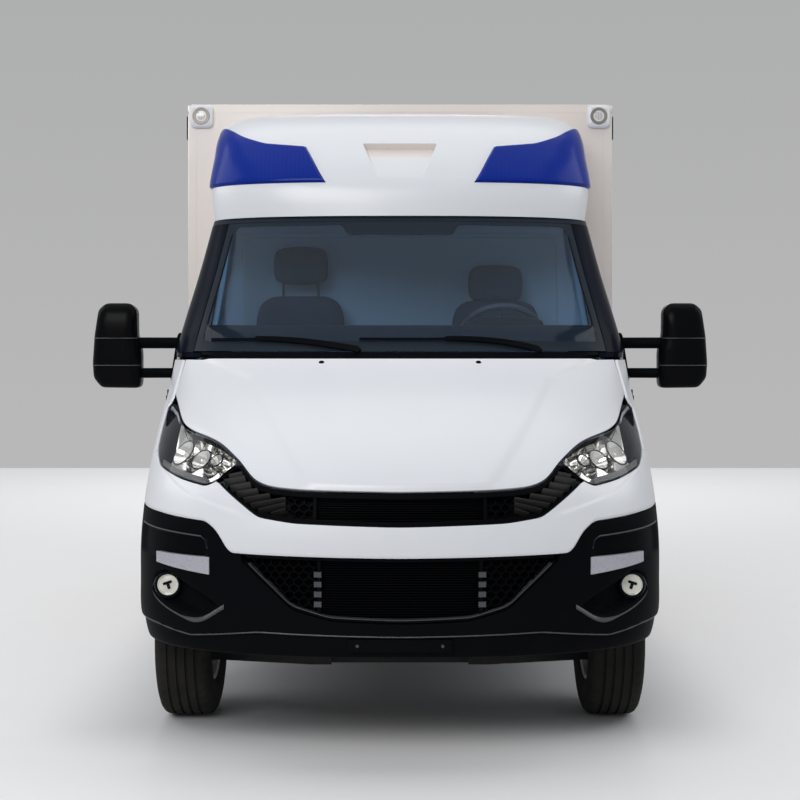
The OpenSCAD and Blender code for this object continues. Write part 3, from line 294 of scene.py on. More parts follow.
class Shape:
    """Points in millimetres and faces gathered from several surfaces, each with its material's number."""

    def __init__(self):
        self.points, self.faces, self.marks, self.count = [], [], [], 0

    def add(self, points, faces, mark=0):
        """Points and faces put after those already gathered."""
        points = np.asarray(points, float).reshape(-1, 3)
        listed = [np.asarray(f) + self.count for f in faces]
        self.points.append(points)
        self.faces += [f.tolist() for f in listed]
        self.marks += list(mark) if np.ndim(mark) else [mark] * len(listed)
        self.count += len(points)

    def sheet(self, grid, mark=0, wrap=False):
        """One grid of points as an open surface."""
        self.add(grid, quads(*grid.shape[:2], wrap), mark)

    def shell(self, face, back, mark=0, wrap=False, face_marks=None):
        """Closed shell: the outer grid, the inner grid turned over, and the rims between their edges."""
        rows, cols = face.shape[:2]
        cells, half = quads(rows, cols, wrap), rows * cols
        number = np.arange(half).reshape(rows, cols)
        rims = []
        loops = [number[0, ::-1], number[-1]]
        if not wrap:
            loops += [number[:, 0], number[::-1, -1]]
        for loop in loops:
            loop = np.append(loop, loop[0]) if wrap else loop
            rims.append(np.stack([loop[:-1], loop[1:], loop[1:] + half, loop[:-1] + half], -1))
        faces = np.concatenate([cells, cells[:, ::-1] + half] + rims)
        if face_marks is not None:
            marks = np.asarray(face_marks).ravel()
            mark = np.concatenate([marks, marks, np.full(len(faces) - 2 * len(cells), mark)])
        self.add(np.concatenate([face.reshape(-1, 3), back.reshape(-1, 3)]), faces, mark)

    def tube(self, grid, mark=0, close=True):
        """Rings of points, one row each, joined into a tube with its ends closed."""
        rows, cols = grid.shape[:2]
        self.add(grid, quads(rows, cols, True), mark)
        if close:
            start = self.count - rows * cols
            self.faces += [(np.arange(cols)[::-1] + start).tolist(),
                           (np.arange(cols) + start + (rows - 1) * cols).tolist()]
            self.marks += [mark, mark]

    def layer(self, rows, angle, z, outer, inner, mark=0):
        """Closed layer that follows a skin between two depths under it."""
        self.shell(under(rows, angle, z, outer), under(rows, angle, z, inner), mark)

    def build(self, name, materials, body, slot, stands_for=(), bevel=0.0, sharp=38):
        """Mesh object of the gathered surfaces, in metres, riding on its body."""
        mesh = bpy.data.meshes.new(name)
        points = np.concatenate(self.points) * MM + ORIGIN
        mesh.from_pydata(points.tolist(), [], self.faces)
        mesh.polygons.foreach_set("material_index", np.array(self.marks, np.int32))
        work = bmesh.new()
        work.from_mesh(mesh)
        bmesh.ops.remove_doubles(work, verts=work.verts, dist=1e-6)
        bmesh.ops.recalc_face_normals(work, faces=work.faces)
        work.to_mesh(mesh)
        work.free()
        mesh.polygons.foreach_set("use_smooth", np.ones(len(mesh.polygons), bool))
        mesh.set_sharp_from_angle(angle=math.radians(sharp))
        for material in materials if isinstance(materials, (list, tuple)) else [materials]:
            mesh.materials.append(material)
        made = bpy.data.objects.new(name, mesh)
        bpy.context.scene.collection.objects.link(made)
        if bevel:
            rounding = made.modifiers.new("edge", "BEVEL")
            rounding.width = bevel * MM
            rounding.segments = 2
            rounding.limit_method = "ANGLE"
            rounding.angle_limit = math.radians(sharp)
            rounding.harden_normals = True
        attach(made, body)
        if stands_for:
            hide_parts(*stands_for)
        return made


def mirrored(grid, side):
    """The grid itself, or its image across the middle plane."""
    return grid * np.array((side, 1, 1))


def rounded(width, height, radius, steps=7):
    """Outline of a rectangle with quarter-circle corners, round its middle, anticlockwise."""
    turn = np.radians(np.linspace(0, 90, steps))
    corners = []
    for k, (sx, sy) in enumerate(((1, 1), (-1, 1), (-1, -1), (1, -1))):
        t = turn + math.radians(90 * k)
        corners.append(np.stack([sx * (width / 2 - radius) + radius * np.cos(t),
                                 sy * (height / 2 - radius) + radius * np.sin(t)], -1))
    return np.concatenate(corners)


def inset(outline, distance):
    """Closed outline moved inwards along the mean normal of the two sides at each point."""
    ahead = np.roll(outline, -1, 0) - outline
    ahead /= np.maximum(np.linalg.norm(ahead, axis=1, keepdims=True), 1e-9)
    tangent = ahead + np.roll(ahead, 1, 0)
    tangent /= np.maximum(np.linalg.norm(tangent, axis=1, keepdims=True), 1e-9)
    return outline + distance * np.stack([-tangent[:, 1], tangent[:, 0]], -1)


def slab(outline, levels, place):
    """Rounded plate as rings: the outline drawn in by each level's inset and carried to its height."""
    rings = []
    for draw, height in levels:
        flat = inset(outline, draw)
        rings.append(place(flat[:, 0], flat[:, 1], np.full(len(flat), height)))
    return np.stack(rings)


def pillow(low, high, radius, steps=5):
    """Levels of a plate with quarter-round edges: inset r less r sine, height r less r cosine."""
    turn = np.radians(np.linspace(0, 90, steps))
    lower = [(radius * (1 - math.sin(t)), low + radius * (1 - math.cos(t))) for t in turn]
    return lower + [(d, high + low - h) for d, h in lower[::-1]]


def facing_front(x, z):
    """Places a plate that faces forwards: outline across and up, heights running back."""
    return lambda u, v, w: np.stack([x + u, w, z + v], -1)


def facing_side(side, y, z):
    """Places a plate that faces a side: outline along and up, heights running outwards."""
    return lambda u, v, w: np.stack([side * w, y + u, z + v], -1)


def facing_up(x, y):
    """Places a plate that faces up: outline across and along, heights running up."""
    return lambda u, v, w: np.stack([x + u, y + v, w], -1)


def lathe(profile, centre, axis, steps=72):
    """Profile of radius and distance turned about an axis through the centre, a ring for each point."""
    axis = np.asarray(axis, float) / np.linalg.norm(axis)
    side = np.cross(axis, (0, 0, 1) if abs(axis[2]) < 0.9 else (1, 0, 0))
    side /= np.linalg.norm(side)
    other = np.cross(axis, side)
    turn = np.linspace(0, 2 * math.pi, steps, endpoint=False)
    radius, along = np.asarray(profile, float).T
    ring = np.cos(turn)[:, None] * side + np.sin(turn)[:, None] * other
    return np.asarray(centre) + radius[:, None, None] * ring + along[:, None, None] * axis


def sweep(path, radius, steps=14, flat=1.0):
    """Round or flattened section carried along a path, square to it, its height kept near upright."""
    path = np.asarray(path, float)
    ahead = np.gradient(path, axis=0)
    ahead /= np.linalg.norm(ahead, axis=1, keepdims=True)
    side = np.cross(ahead, (0.0, 0.0, 1.0))
    side /= np.maximum(np.linalg.norm(side, axis=1, keepdims=True), 1e-9)
    up = np.cross(side, ahead)
    turn = np.linspace(0, 2 * math.pi, steps, endpoint=False)
    section = np.cos(turn)[None, :, None] * side[:, None] + flat * np.sin(turn)[None, :, None] * up[:, None]
    return path[:, None] + radius * section


def smooth_path(points, steps=40):
    """Cubic through the points, which are keyed by their order."""
    points = np.asarray(points, float)
    rows = np.column_stack([np.arange(len(points)), points])
    at = np.linspace(0, len(points) - 1, steps)
    return np.stack([curve_through(rows, c, at) for c in (1, 2, 3)], -1)


def strip(rows, angles, low, high, outer, inner):
    """Bar along the skin: its four edges lie at two heights and two depths, one ring for each angle."""
    angles = np.asarray(angles, float)
    low, high = np.broadcast_to(low, angles.shape), np.broadcast_to(high, angles.shape)
    corners = ((low, outer), (high, outer), (high, inner), (low, inner))
    return np.stack([under(rows, angles, z, depth) for z, depth in corners], 1)


def panel_grid(angles, low, high, levels):
    """Angles and heights of a panel between two edges: the height goes evenly from one to the other."""
    return np.broadcast_arrays(angles, low + (high - low) * np.linspace(0, 1, levels)[:, None])


def wrap_grid(angles, low, high, levels, y_end):
    """The same for a panel that ends on a station: past 60 degrees the angles close up to meet it."""
    v = np.linspace(0, 1, levels)[:, None]
    nominal = np.broadcast_to(angles, (levels, len(angles)))
    a = nominal
    for _ in range(6):
        z = low(a) + (high(a) - low(a)) * v
        pulled = np.sign(nominal) * (60 + (np.abs(nominal) - 60) * (angle_at(CAB, y_end, z) - 60) / 30)
        a = np.where(np.abs(nominal) > 60, pulled, nominal)
    return a, low(a) + (high(a) - low(a)) * v


def raised_panel(angle, z, relief, depth):
    """Outer grid lifted along the normal by its relief, and inner grid a depth under the skin."""
    flat, normal = skin(CAB, angle, z), outward(CAB, angle, z)
    return flat + relief[..., None] * normal, flat - depth * normal


# Shader node trees and the groups that several finishes share
class Tree:
    """Short calls to add and join nodes."""

    def __init__(self, tree):
        self.tree = tree

    def add(self, kind, inputs=None, **settings):
        """Node with its settings, each input joined to a socket or set to a value."""
        made = self.tree.nodes.new(kind)
        for key, value in settings.items():
            setattr(made, key, value)
        for key, value in (inputs or {}).items():
            if isinstance(value, bpy.types.NodeSocket):
                self.join(value, made.inputs[key])
            else:
                made.inputs[key].default_value = value
        return made

    def join(self, output, socket):
        self.tree.links.new(output, socket)

    def place(self):
        """Object coordinates."""
        return self.add("ShaderNodeTexCoord").outputs["Object"]

    def maths(self, operation, *values):
        """Outcome of an operation on one to three values."""
        return self.add("ShaderNodeMath", dict(enumerate(values)), operation=operation).outputs[0]

    def ranged(self, value, low, high, start=0.0, end=1.0, **settings):
        """Value carried from the range start to end into the range low to high."""
        limits = {"Value": value, "From Min": start, "From Max": end, "To Min": low, "To Max": high}
        return self.add("ShaderNodeMapRange", limits, **settings).outputs["Result"]

    def scaled(self, colour, share):
        """Colour times a share."""
        return self.add("ShaderNodeVectorMath", {0: colour, "Scale": share}, operation="SCALE").outputs["Vector"]

    def noise(self, scale, detail, roughness):
        """Noise over Object coordinates."""
        inputs = {"Vector": self.place(), "Scale": scale, "Detail": detail, "Roughness": roughness}
        return self.add("ShaderNodeTexNoise", inputs).outputs["Fac"]

    def wave(self, scale, direction, distortion=0.0):
        """Bands over Object coordinates, along one way."""
        inputs = {"Vector": self.place(), "Scale": scale, "Distortion": distortion}
        return self.add("ShaderNodeTexWave", inputs, bands_direction=direction).outputs["Fac"]


def shader_group(name, inputs, **outputs):
    """New shader group with named sockets; gives its tree, the sockets it is given and those it fills."""
    group = bpy.data.node_groups.new(name, "ShaderNodeTree")
    for label, default in inputs.items():
        kind = "NodeSocketColor" if isinstance(default, tuple) else "NodeSocketFloat"
        group.interface.new_socket(label, in_out="INPUT", socket_type=kind).default_value = default
    for label, kind in outputs.items():
        group.interface.new_socket(label, in_out="OUTPUT", socket_type=kind)
    tree = Tree(group)
    return tree, tree.add("NodeGroupInput").outputs, tree.add("NodeGroupOutput").inputs


def grain_group():
    """Fine surface texture: noise of a given scale as bump."""
    tree, given, out = shader_group("surface_grain", {"Scale": 400.0, "Strength": 0.2}, Normal="NodeSocketVector")
    noise = tree.noise(given["Scale"], 3.0, 0.6)
    bump = tree.add("ShaderNodeBump", {"Height": noise, "Strength": given["Strength"], "Distance": 0.001})
    tree.join(bump.outputs["Normal"], out["Normal"])
    return tree.tree


def film_group():
    """Road film: a mask that fades with height above the ground, broken up by noise."""
    tree, given, out = shader_group("road_film", {"Top": 0.8, "Amount": 0.3}, Mask="NodeSocketFloat")
    height = tree.add("ShaderNodeSeparateXYZ", {"Vector": tree.place()}).outputs["Z"]
    fade = tree.ranged(height, 0.0, 1.0, given["Top"], 0.1)
    broken = tree.maths("MULTIPLY", tree.noise(9.0, 6.0, 0.65), fade)
    tree.join(tree.maths("MULTIPLY", broken, given["Amount"]), out["Mask"])
    return tree.tree


def tone_group():
    """Colour variation: the colour made lighter or darker by broad noise."""
    tree, given, out = shader_group("tone", {"Color": (1, 1, 1, 1), "Spread": 0.05, "Scale": 3.0},
                                    Color="NodeSocketColor", Mask="NodeSocketFloat")
    noise = tree.noise(given["Scale"], 4.0, 0.55)
    share = tree.maths("MULTIPLY_ADD", tree.maths("SUBTRACT", noise, 0.5), given["Spread"], 1.0)
    tree.join(tree.scaled(given["Color"], share), out["Color"])
    tree.join(noise, out["Mask"])
    return tree.tree


GROUPS = {}

FINISHES = {}

DUST = (0.34, 0.31, 0.27, 1.0)


def group_node(tree, name, **inputs):
    """A shared group placed in a material, with its own values."""
    makers = {"surface_grain": grain_group, "road_film": film_group, "tone": tone_group}
    if name not in GROUPS:
        GROUPS[name] = makers[name]()
    return tree.add("ShaderNodeGroup", inputs, node_tree=GROUPS[name])


def new_finish(name):
    """New material, with its tree and its main shader."""
    material = bpy.data.materials.new(name)
    material.use_nodes = True
    return material, Tree(material.node_tree), material.node_tree.nodes["Principled BSDF"]


def finish(name, colour, roughness, grain, film, spread, pattern=None, sockets=()):
    """Opaque finish: tone over the colour, road film near the ground, fine grain, plain values besides."""
    material, tree, shader = new_finish(name)
    shade = group_node(tree, "tone", Color=(*colour, 1.0), Spread=spread).outputs["Color"]
    if pattern:
        shade = pattern(tree, shade)
    if film:
        dirt = group_node(tree, "road_film", Top=film[0], Amount=film[1]).outputs["Mask"]
        mixed = tree.add("ShaderNodeMix", {"Factor": dirt, "A": shade, "B": DUST}, data_type="RGBA")
        shade = mixed.outputs["Result"]
        tree.join(tree.ranged(dirt, roughness, max(roughness, 0.85)), shader.inputs["Roughness"])
    else:
        shader.inputs["Roughness"].default_value = roughness
    tree.join(shade, shader.inputs["Base Color"])
    bumps = group_node(tree, "surface_grain", Scale=grain[0], Strength=grain[1])
    tree.join(bumps.outputs["Normal"], shader.inputs["Normal"])
    for key, value in dict(sockets).items():
        shader.inputs[key].default_value = value
    return material


def see_through(name, colour, smears, ior):
    """Glass or lens: tinted, with faint smears; shadow and diffuse rays pass straight through."""
    material, tree, shader = new_finish(name)
    tone = group_node(tree, "tone", Color=(*colour, 1.0), Spread=0.06, Scale=2.0)
    tree.join(tone.outputs["Color"], shader.inputs["Base Color"])
    dirt = group_node(tree, "road_film", Top=0.9, Amount=0.1).outputs["Mask"]
    haze = tree.ranged(tone.outputs["Mask"], 0.0, smears, 0.45, 0.8)
    tree.join(tree.maths("ADD", haze, dirt), shader.inputs["Roughness"])
    shader.inputs["Transmission Weight"].default_value = 1.0
    shader.inputs["IOR"].default_value = ior
    clear = tree.add("ShaderNodeBsdfTransparent", {"Color": (*colour, 1.0)})
    path = tree.add("ShaderNodeLightPath").outputs
    passing = tree.maths("MAXIMUM", path["Is Shadow Ray"], path["Is Diffuse Ray"])
    pick = tree.add("ShaderNodeMixShader", {0: passing, 1: shader.outputs[0], 2: clear.outputs[0]})
    tree.join(pick.outputs[0], material.node_tree.nodes["Material Output"].inputs["Surface"])
    return material


def ribbed(scale, direction, dark):
    """Pattern of bands: the colour darkened along one way by a wave."""
    def pattern(tree, shade):
        return tree.scaled(shade, tree.ranged(tree.wave(scale, direction), dark, 1.0))
    return pattern


def speckled(scale, dark):
    """Pattern of small cells: the colour darkened from cell to cell."""
    def pattern(tree, shade):
        cells = tree.add("ShaderNodeTexVoronoi", {"Vector": tree.place(), "Scale": scale})
        return tree.scaled(shade, tree.ranged(cells.outputs["Distance"], 1.0, dark, 0.0, 0.8))
    return pattern


def cloth_finish(name, colour):
    """Seat cloth: threads from two crossed waves over the colour's tone, rough and hardly shiny."""
    material, tree, shader = new_finish(name)
    tone = group_node(tree, "tone", Color=(*colour, 1.0), Spread=0.12, Scale=14.0)
    crossed = tree.maths("MULTIPLY", tree.wave(12.0, "X", 0.4), tree.wave(12.0, "DIAGONAL", 0.4))
    threads = tree.ranged(crossed, 0.985, 1.015)
    tree.join(tree.scaled(tone.outputs["Color"], threads), shader.inputs["Base Color"])
    shader.inputs["Roughness"].default_value = 0.9
    shader.inputs["IOR"].default_value = 1.12
    return material


# Finishes. Opaque: label, colour or its name in the panel, roughness, grain's scale and strength, road film's
# top and amount, spread of the tone, pattern, plain values. See-through: label, tint, smears, refraction.
LOOKS = {
    "white": ("white paint", "white_paint", 0.36, (90.0, 0.03), (0.95, 0.35), 0.03, None,
              {"Coat Weight": 0.35, "Coat Roughness": 0.2}),
    "box": ("box paint", "box_paint", 0.38, (120.0, 0.06), (1.1, 0.3), 0.05, None,
            {"Coat Weight": 0.25, "Coat Roughness": 0.12}),
    "plastic": ("moulded black plastic", "plastic", 0.45, (500.0, 0.08), (0.8, 0.012), 0.2, None,
                {"IOR": 1.08}),
    "mesh": ("grille mesh", (0.007, 0.0072, 0.008), 0.6, (700.0, 0.3), (0.9, 0.01), 0.2, speckled(90.0, 0.15),
             {"IOR": 1.15}),
    "gloss": ("gloss black", (0.003, 0.006, 0.0125), 0.24, (300.0, 0.03), (0.8, 0.02), 0.2, None,
              {"IOR": 1.1}),
    "border": ("glass border", (0.014, 0.021, 0.03), 0.3, (300.0, 0.03), (0.8, 0.02), 0.1, None,
               {"IOR": 1.15}),
    "housing": ("mirror housing", (0.0025, 0.0027, 0.0032), 0.28, (300.0, 0.03), (0.8, 0.01), 0.2, None,
                {"IOR": 1.14}),
    "rubber": ("rubber", (0.008, 0.008, 0.008), 0.75, (1200.0, 0.4), (0.9, 0.12), 0.25, None, {"IOR": 1.2}),
    "trim": ("dark cabin trim", "cabin_trim", 0.6, (1500.0, 0.25), None, 0.15, None, {"IOR": 1.2}),
    "beige": ("cabin lining", (0.74, 0.71, 0.68), 0.85, (900.0, 0.4), None, 0.1),
    "frame": ("chassis paint", (0.008, 0.008, 0.009), 0.45, (200.0, 0.15), (1.2, 0.12), 0.25, None,
              {"IOR": 1.25}),
    "iron": ("cast iron", (0.09, 0.085, 0.08), 0.6, (350.0, 0.6), (1.2, 0.6), 0.35, None,
             {"Metallic": 0.7}),
    "steel": ("bare steel", (0.42, 0.41, 0.39), 0.42, (260.0, 0.15), (1.0, 0.5), 0.25, None,
              {"Metallic": 1.0}),
    "alloy": ("drawn aluminium", (0.62, 0.62, 0.61), 0.36, (80.0, 0.1), (1.0, 0.25), 0.12, None,
              {"Metallic": 0.9}),
    "rim": ("wheel paint", (0.43, 0.44, 0.45), 0.35, (300.0, 0.06), (0.75, 0.45), 0.1, None,
            {"Metallic": 0.45}),
    "tyre": ("tyre rubber", (0.009, 0.009, 0.009), 0.82, (700.0, 0.5), (0.8, 0.1), 0.3, None, {"IOR": 1.2}),
    "floor": ("floor vinyl", (0.2, 0.21, 0.22), 0.55, (800.0, 0.3), None, 0.12, speckled(130.0, 0.7)),
    "chrome": ("bright reflector", (0.82, 0.81, 0.79), 0.09, (160.0, 0.22), (0.8, 0.05), 0.06, None,
               {"Metallic": 1.0}),
    "silver": ("reflector strip", (0.56, 0.55, 0.62), 0.3, (700.0, 0.3), (0.8, 0.1), 0.06, speckled(220.0, 0.7),
               {"Metallic": 0.3}),
    # Grey: own colour of some small grey parts, and painted highlight on the thin beads along the bumper and the
    # lower grille's rim
    "grey": ("grey edge trim", (0.05, 0.052, 0.058), 0.4, (600.0, 0.15), (0.8, 0.05), 0.1),
    # Slat: black louvres lightened to a dark grey as painted highlight on their tops
    "slat": ("grille slat", (0.022, 0.021, 0.02), 0.42, (600.0, 0.15), (0.8, 0.05), 0.1),
    "mirror": ("mirror glass", (0.85, 0.87, 0.88), 0.02, (5.0, 0.01), (0.8, 0.03), 0.03, None,
               {"Metallic": 1.0}),
    "red": ("red lens", (0.28, 0.006, 0.008), 0.12, (200.0, 0.05), (0.9, 0.15), 0.08, ribbed(28.0, "Z", 0.6),
            {"Coat Weight": 0.8}),
    "amber": ("amber lens", (0.6, 0.16, 0.006), 0.12, (200.0, 0.05), (0.9, 0.15), 0.08, ribbed(28.0, "Z", 0.65),
              {"Coat Weight": 0.8}),
    "white_lens": ("pale lens", (0.66, 0.66, 0.63), 0.1, (200.0, 0.05), (0.9, 0.1), 0.05,
                   ribbed(24.0, "X", 0.75), {"Coat Weight": 0.8}),
    "blue": ("blue lens", "beacon", 0.2, (150.0, 0.03), None, 0.1, ribbed(16.0, "X", 0.9), {"IOR": 1.2}),
    # Pale disc in the fog lamps: painted glare of the lamp's reflector
    "cream": ("fog lamp reflector", (0.86, 0.83, 0.73), 0.25, (200.0, 0.05), None, 0.05),
    "bezel": ("lamp bezel", (0.25, 0.225, 0.19), 0.35, (300.0, 0.1), None, 0.1, None, {"Metallic": 0.3}),
    # Grip: the steering wheel's finish, lightened as painted highlight along its rim
    "grip": ("wheel grip", (0.13, 0.135, 0.14), 0.38, (1500.0, 0.3), None, 0.1),
    "cloth": ("seat cloth", "seat_cloth"),
    "glass": ("window glass", "glass", 0.02, 1.2),
    "tinted": ("tinted glass", (0.1, 0.115, 0.13), 0.03, 1.45),
    "lens": ("clear lamp cover", (0.96, 0.965, 0.97), 0.015, 1.12),
}


def look(name):
    """Finish by name, made the first time it is asked for; a colour given by name is the panel's."""
    if name not in FINISHES:
        label, colour, *rest = LOOKS[name]
        if isinstance(colour, str):
            colour = tuple(getattr(bpy.context.scene.van_colours, colour))
        maker = {"cloth": cloth_finish, "glass": see_through, "tinted": see_through, "lens": see_through}
        FINISHES[name] = maker.get(name, finish)(label, colour, *rest)
    return FINISHES[name]


def looks(*names):
    """Finishes of a piece, in the order of its marks."""
    return [look(name) for name in names]


# Pieces of the van
CAD_LOOKS = {
    "frame": "frame", "front_arms": "frame", "rear_suspension": "frame", "powertrain": "iron",
    "fuel_tank": "plastic", "exhaust": "steel", "cab_shell": "white", "cab_pillars": "gloss",
    "wheel_liners": "rubber", "box_floor": "floor", "rear_bumper": "trim", "knuckle_left": "iron",
    "knuckle_right": "iron", "box_windows": "tinted", "rear_glass_left": "tinted",
    "rear_glass_right": "tinted", "side_glass": "tinted", "door_glass_left": "glass",
    "door_glass_right": "glass",
}


def dress_solids():
    """Gives the solids that stay in view their finishes, through the slots of their objects."""
    for name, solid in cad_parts.items():
        wanted = look(CAD_LOOKS.get(name, "box"))
        while len(solid.material_slots) < 1:
            solid.data.materials.append(None)
        for place in solid.material_slots:
            place.link = "OBJECT"
            place.material = wanted


def make_bonnet():
    """Bonnet skin: rows from its front edge to the cowl, with a raised middle that widens to the screen."""
    angles = np.linspace(-BONNET_SIDE, BONNET_SIDE, 145)
    a, z = panel_grid(angles, bonnet_low(angles), COWL - 9, 56)
    border = np.interp(z, (LIP, 1200, 1400, COWL), (330, 470, 620, 850))
    across = np.abs(skin(CAB, a, z)[..., 0])
    relief = 7 * ease((border - across) / 42) - 4
    nose = ease((z - bonnet_low(a)) / 16)
    relief = relief * nose - 5 * (1 - nose)
    face, back = raised_panel(a, z, relief, 18)
    shape = Shape()
    shape.shell(face, back)
    root = under(CAB, angle_of(CAB, BONNET_PIN[0], ARM_FOOT), ARM_FOOT, 34.0)
    for side in (-1, 1):
        shape.tube(mirrored(sweep(np.linspace(BONNET_PIN, root, 6), 11.0, 10), side), 1)
        barrel = lathe([(0.5, -14), (15, -14), (15, 14), (0.5, 14)], BONNET_PIN, (1, 0, 0), 24)
        shape.tube(mirrored(barrel, side), 1)
        turn = side * angle_of(CAB, *WASHER)
        shape.tube(lathe([(0.4, 8), (7, 7.5), (11, 5), (12, 1), (0.4, 1)], skin(CAB, turn, WASHER[1]),
                         outward(CAB, turn, WASHER[1]), 24), 2)
    shape.build("bonnet_panel", looks("white", "frame", "plastic"), "bonnet", "white_paint", ("bonnet",), 2.0)


def make_band():
    """Body-colour bumper band round the nose, stepped along the crease that runs under the headlamps."""
    angles = both_sides((0, 30, 31), (30, 44, 43), (44, 90, 47))
    a, z = wrap_grid(angles, lambda t: edge(BAND_LOW, t), band_high, 30, BUMPER_END)
    crease = edge(BAND_CREASE, a)
    relief = -sized("band_crease") * ease((z - crease) / 12 + 0.5) * ease((np.abs(a) - 26) / 6)
    relief = relief - 4 * (1 - ease((z - edge(BAND_LOW, a)) / 9))
    face, back = raised_panel(a, z, relief, 40)
    shape = Shape()
    shape.shell(face, back)
    shape.build("bumper_band_skin", look("white"), "chassis", "white_paint", ("bumper_band",), 1.5)


FOG = np.array((850.0, 648.0))

SCOOP = np.array([(914, 619), (842, 569), (728, 543), (626, 599), (779, 672), (848, 712), (901, 684)], float)


def slot_crest(turn):
    """Height of the upper edge of the slot over the reflectors, rising gently round the corner."""
    return 841 + 0.52 * (turn - 41)


def bumper_relief(a, z, spot):
    """Relief of the black bumper: a scoop round each fog lamp, a slot over the reflectors, a chin."""
    turn = np.abs(a)
    x, along = np.abs(spot[..., 0]), np.roll(SCOOP, -1, 0) - SCOOP
    along /= np.linalg.norm(along, axis=1, keepdims=True)
    sides = [(x - p[0]) * t[1] - (z - p[1]) * t[0] for p, t in zip(SCOOP, along)]
    inside = -9 * np.log(np.sum(np.exp(-np.array(sides) / 9), axis=0))
    hollow = -sized("scoop_depth") * ease(inside / 34 + 0.25)
    slot_window = (ease((z - 752) / 10) * ease((slot_crest(turn) - z) / 12)
                   * ease((turn - 38.2) / 2) * ease((76 - turn) / 4))
    chin = -12 * ease((edge(CHIN_LINE, turn) - z) / 9 + 0.5)
    roll = -26 * ease((430 - z) / 46) ** 2
    return hollow - 15 * slot_window + chin + roll


def bumper_bead(turn, z, radius):
    """Thin ridge on the bumper's face: a bead carried along a line of angles and heights."""
    section = bead(1.0) * np.broadcast_to(radius, turn.shape)[:, None, None]
    return under(CAB, turn, z, bumper_depth(turn, z))[:, None] + section


def bead(radius):
    """Small round section across and up, for a thin ridge on a panel."""
    turn = np.linspace(0, 2 * math.pi, 8, endpoint=False)
    return radius * np.stack([0 * turn, np.cos(turn), np.sin(turn)], -1)[None]


def bumper_depth(a, z):
    """Depth of the bumper's face under the skin, so that a ridge lies on it."""
    a, z = np.asarray(a, float), np.asarray(z, float)
    return -bumper_relief(a, z, skin(CAB, a, z))


def make_lower_bumper():
    """Black lower bumper: rows from the bottom edge to the mouth or the band, displaced by its relief."""
    angles = both_sides((0, 16, 9), (16, 32, 25), (32, 66, 60), (66, 90, 13))

    def high(t):
        turn = np.abs(t)
        top = edge(BAND_LOW, turn) - 3
        return np.where(turn < 29.3, np.minimum(edge(MOUTH_LOW, turn), top), top)

    a, z = wrap_grid(angles, lambda t: BUMPER_BASE, high, 64, BUMPER_END)
    face, back = raised_panel(a, z, bumper_relief(a, z, skin(CAB, a, z)), 52)
    shape = Shape()
    shape.shell(face, back)
    level = curve_through(CAB, 1, PLATE_Z)
    holder = rounded(372, 46, 8)
    shape.tube(slab(holder, pillow(level + 3, level + 30, 5), facing_front(0, PLATE_Z)))
    # Grey beads along the chin, over the reflector slots and under each scoop: painted highlight lines along the
    # bumper's edges
    turn = np.linspace(-88, 88, 150)
    shape.tube(bumper_bead(turn, edge(CHIN_LINE, turn) + 2, 3.0), 1)
    for side in (-1, 1):
        shape.tube(lathe([(0.4, -3), (4.5, -3), (6.5, 0), (6.5, 8), (0.4, 8)],
                         (150 * side, level + 2, PLATE_Z), (0, 1, 0), 20), 1)
        turn = np.concatenate([np.linspace(74, 41.2, 32), np.linspace(40.7, 38.5, 8)])
        crest = slot_crest(turn) - 40 * ease((40.9 - turn) / 2.4)
        shape.tube(bumper_bead(side * turn, crest, 2.6), 1)
        path = smooth_path(np.column_stack([SCOOP[[6, 0, 1, 2, 3]], np.zeros(5)]), 40)
        turn = side * angle_of(CAB, path[:, 0], path[:, 1])
        swelling = 1 + 1.6 * ease((800 - path[:, 0]) / 60)
        shape.tube(bumper_bead(turn, path[:, 1] - 5, 3.4 * swelling), 1)
    shape.build("bumper_skin", looks("plastic", "grey"), "chassis", "black_plastic", ("bumper_lower",), 1.6)


def stretches(fits, least):
    """Slices of the runs of true values that have more than a number of steps."""
    step = np.diff(np.concatenate([[0], fits.astype(int), [0]]))
    ends = zip(np.flatnonzero(step == 1), np.flatnonzero(step == -1))
    return [slice(first, end) for first, end in ends if end - 1 - first > least]


def honeycomb(shape, base, low, high, keep):
    """Honeycomb in angle and height: zigzag bars, each half a pitch over, and uprights between them."""
    pitch, spacing, thick = 2.0, 23.0, 4.2
    wave = spacing / 4
    angles = np.arange(-28, 28 + 1e-6, pitch / 4)
    for k in range(10):
        phase = (angles / pitch + k / 2) % 1
        line = base + k * spacing - wave * (1 - 2 * np.abs(2 * phase - 1))
        fits = (low(angles) + 2 < line - thick) & (line + thick < high(angles) - 2) & keep(angles)
        for part in stretches(fits, 2):
            bar = line[part]
            shape.tube(strip(CAB, angles[part], bar - thick / 2, bar + thick / 2, 18, 46))
        tops = angles[np.minimum(phase, 1 - phase) < 1e-6]
        foot, head = base + k * spacing + wave, base + (k + 1) * spacing - wave
        for angle in tops[(low(tops) + 2 < foot) & (head < high(tops) - 2) & keep(tops)]:
            shape.tube(strip(CAB, (angle - 0.12, angle + 0.12), foot - 1, head + 1, 18, 46))


def fins(shape, heights, low, high, limit):
    """Level bars across an opening, each as long as the opening is at its height."""
    angles = np.linspace(-limit, limit, 61)
    for z in heights:
        fits = (low(angles) + 2 < z - 1.5) & (z + 1.5 < high(angles) - 2)
        for part in stretches(fits, 3):
            shape.tube(strip(CAB, angles[part], z - 1.5, z + 1.5, 30, 46))


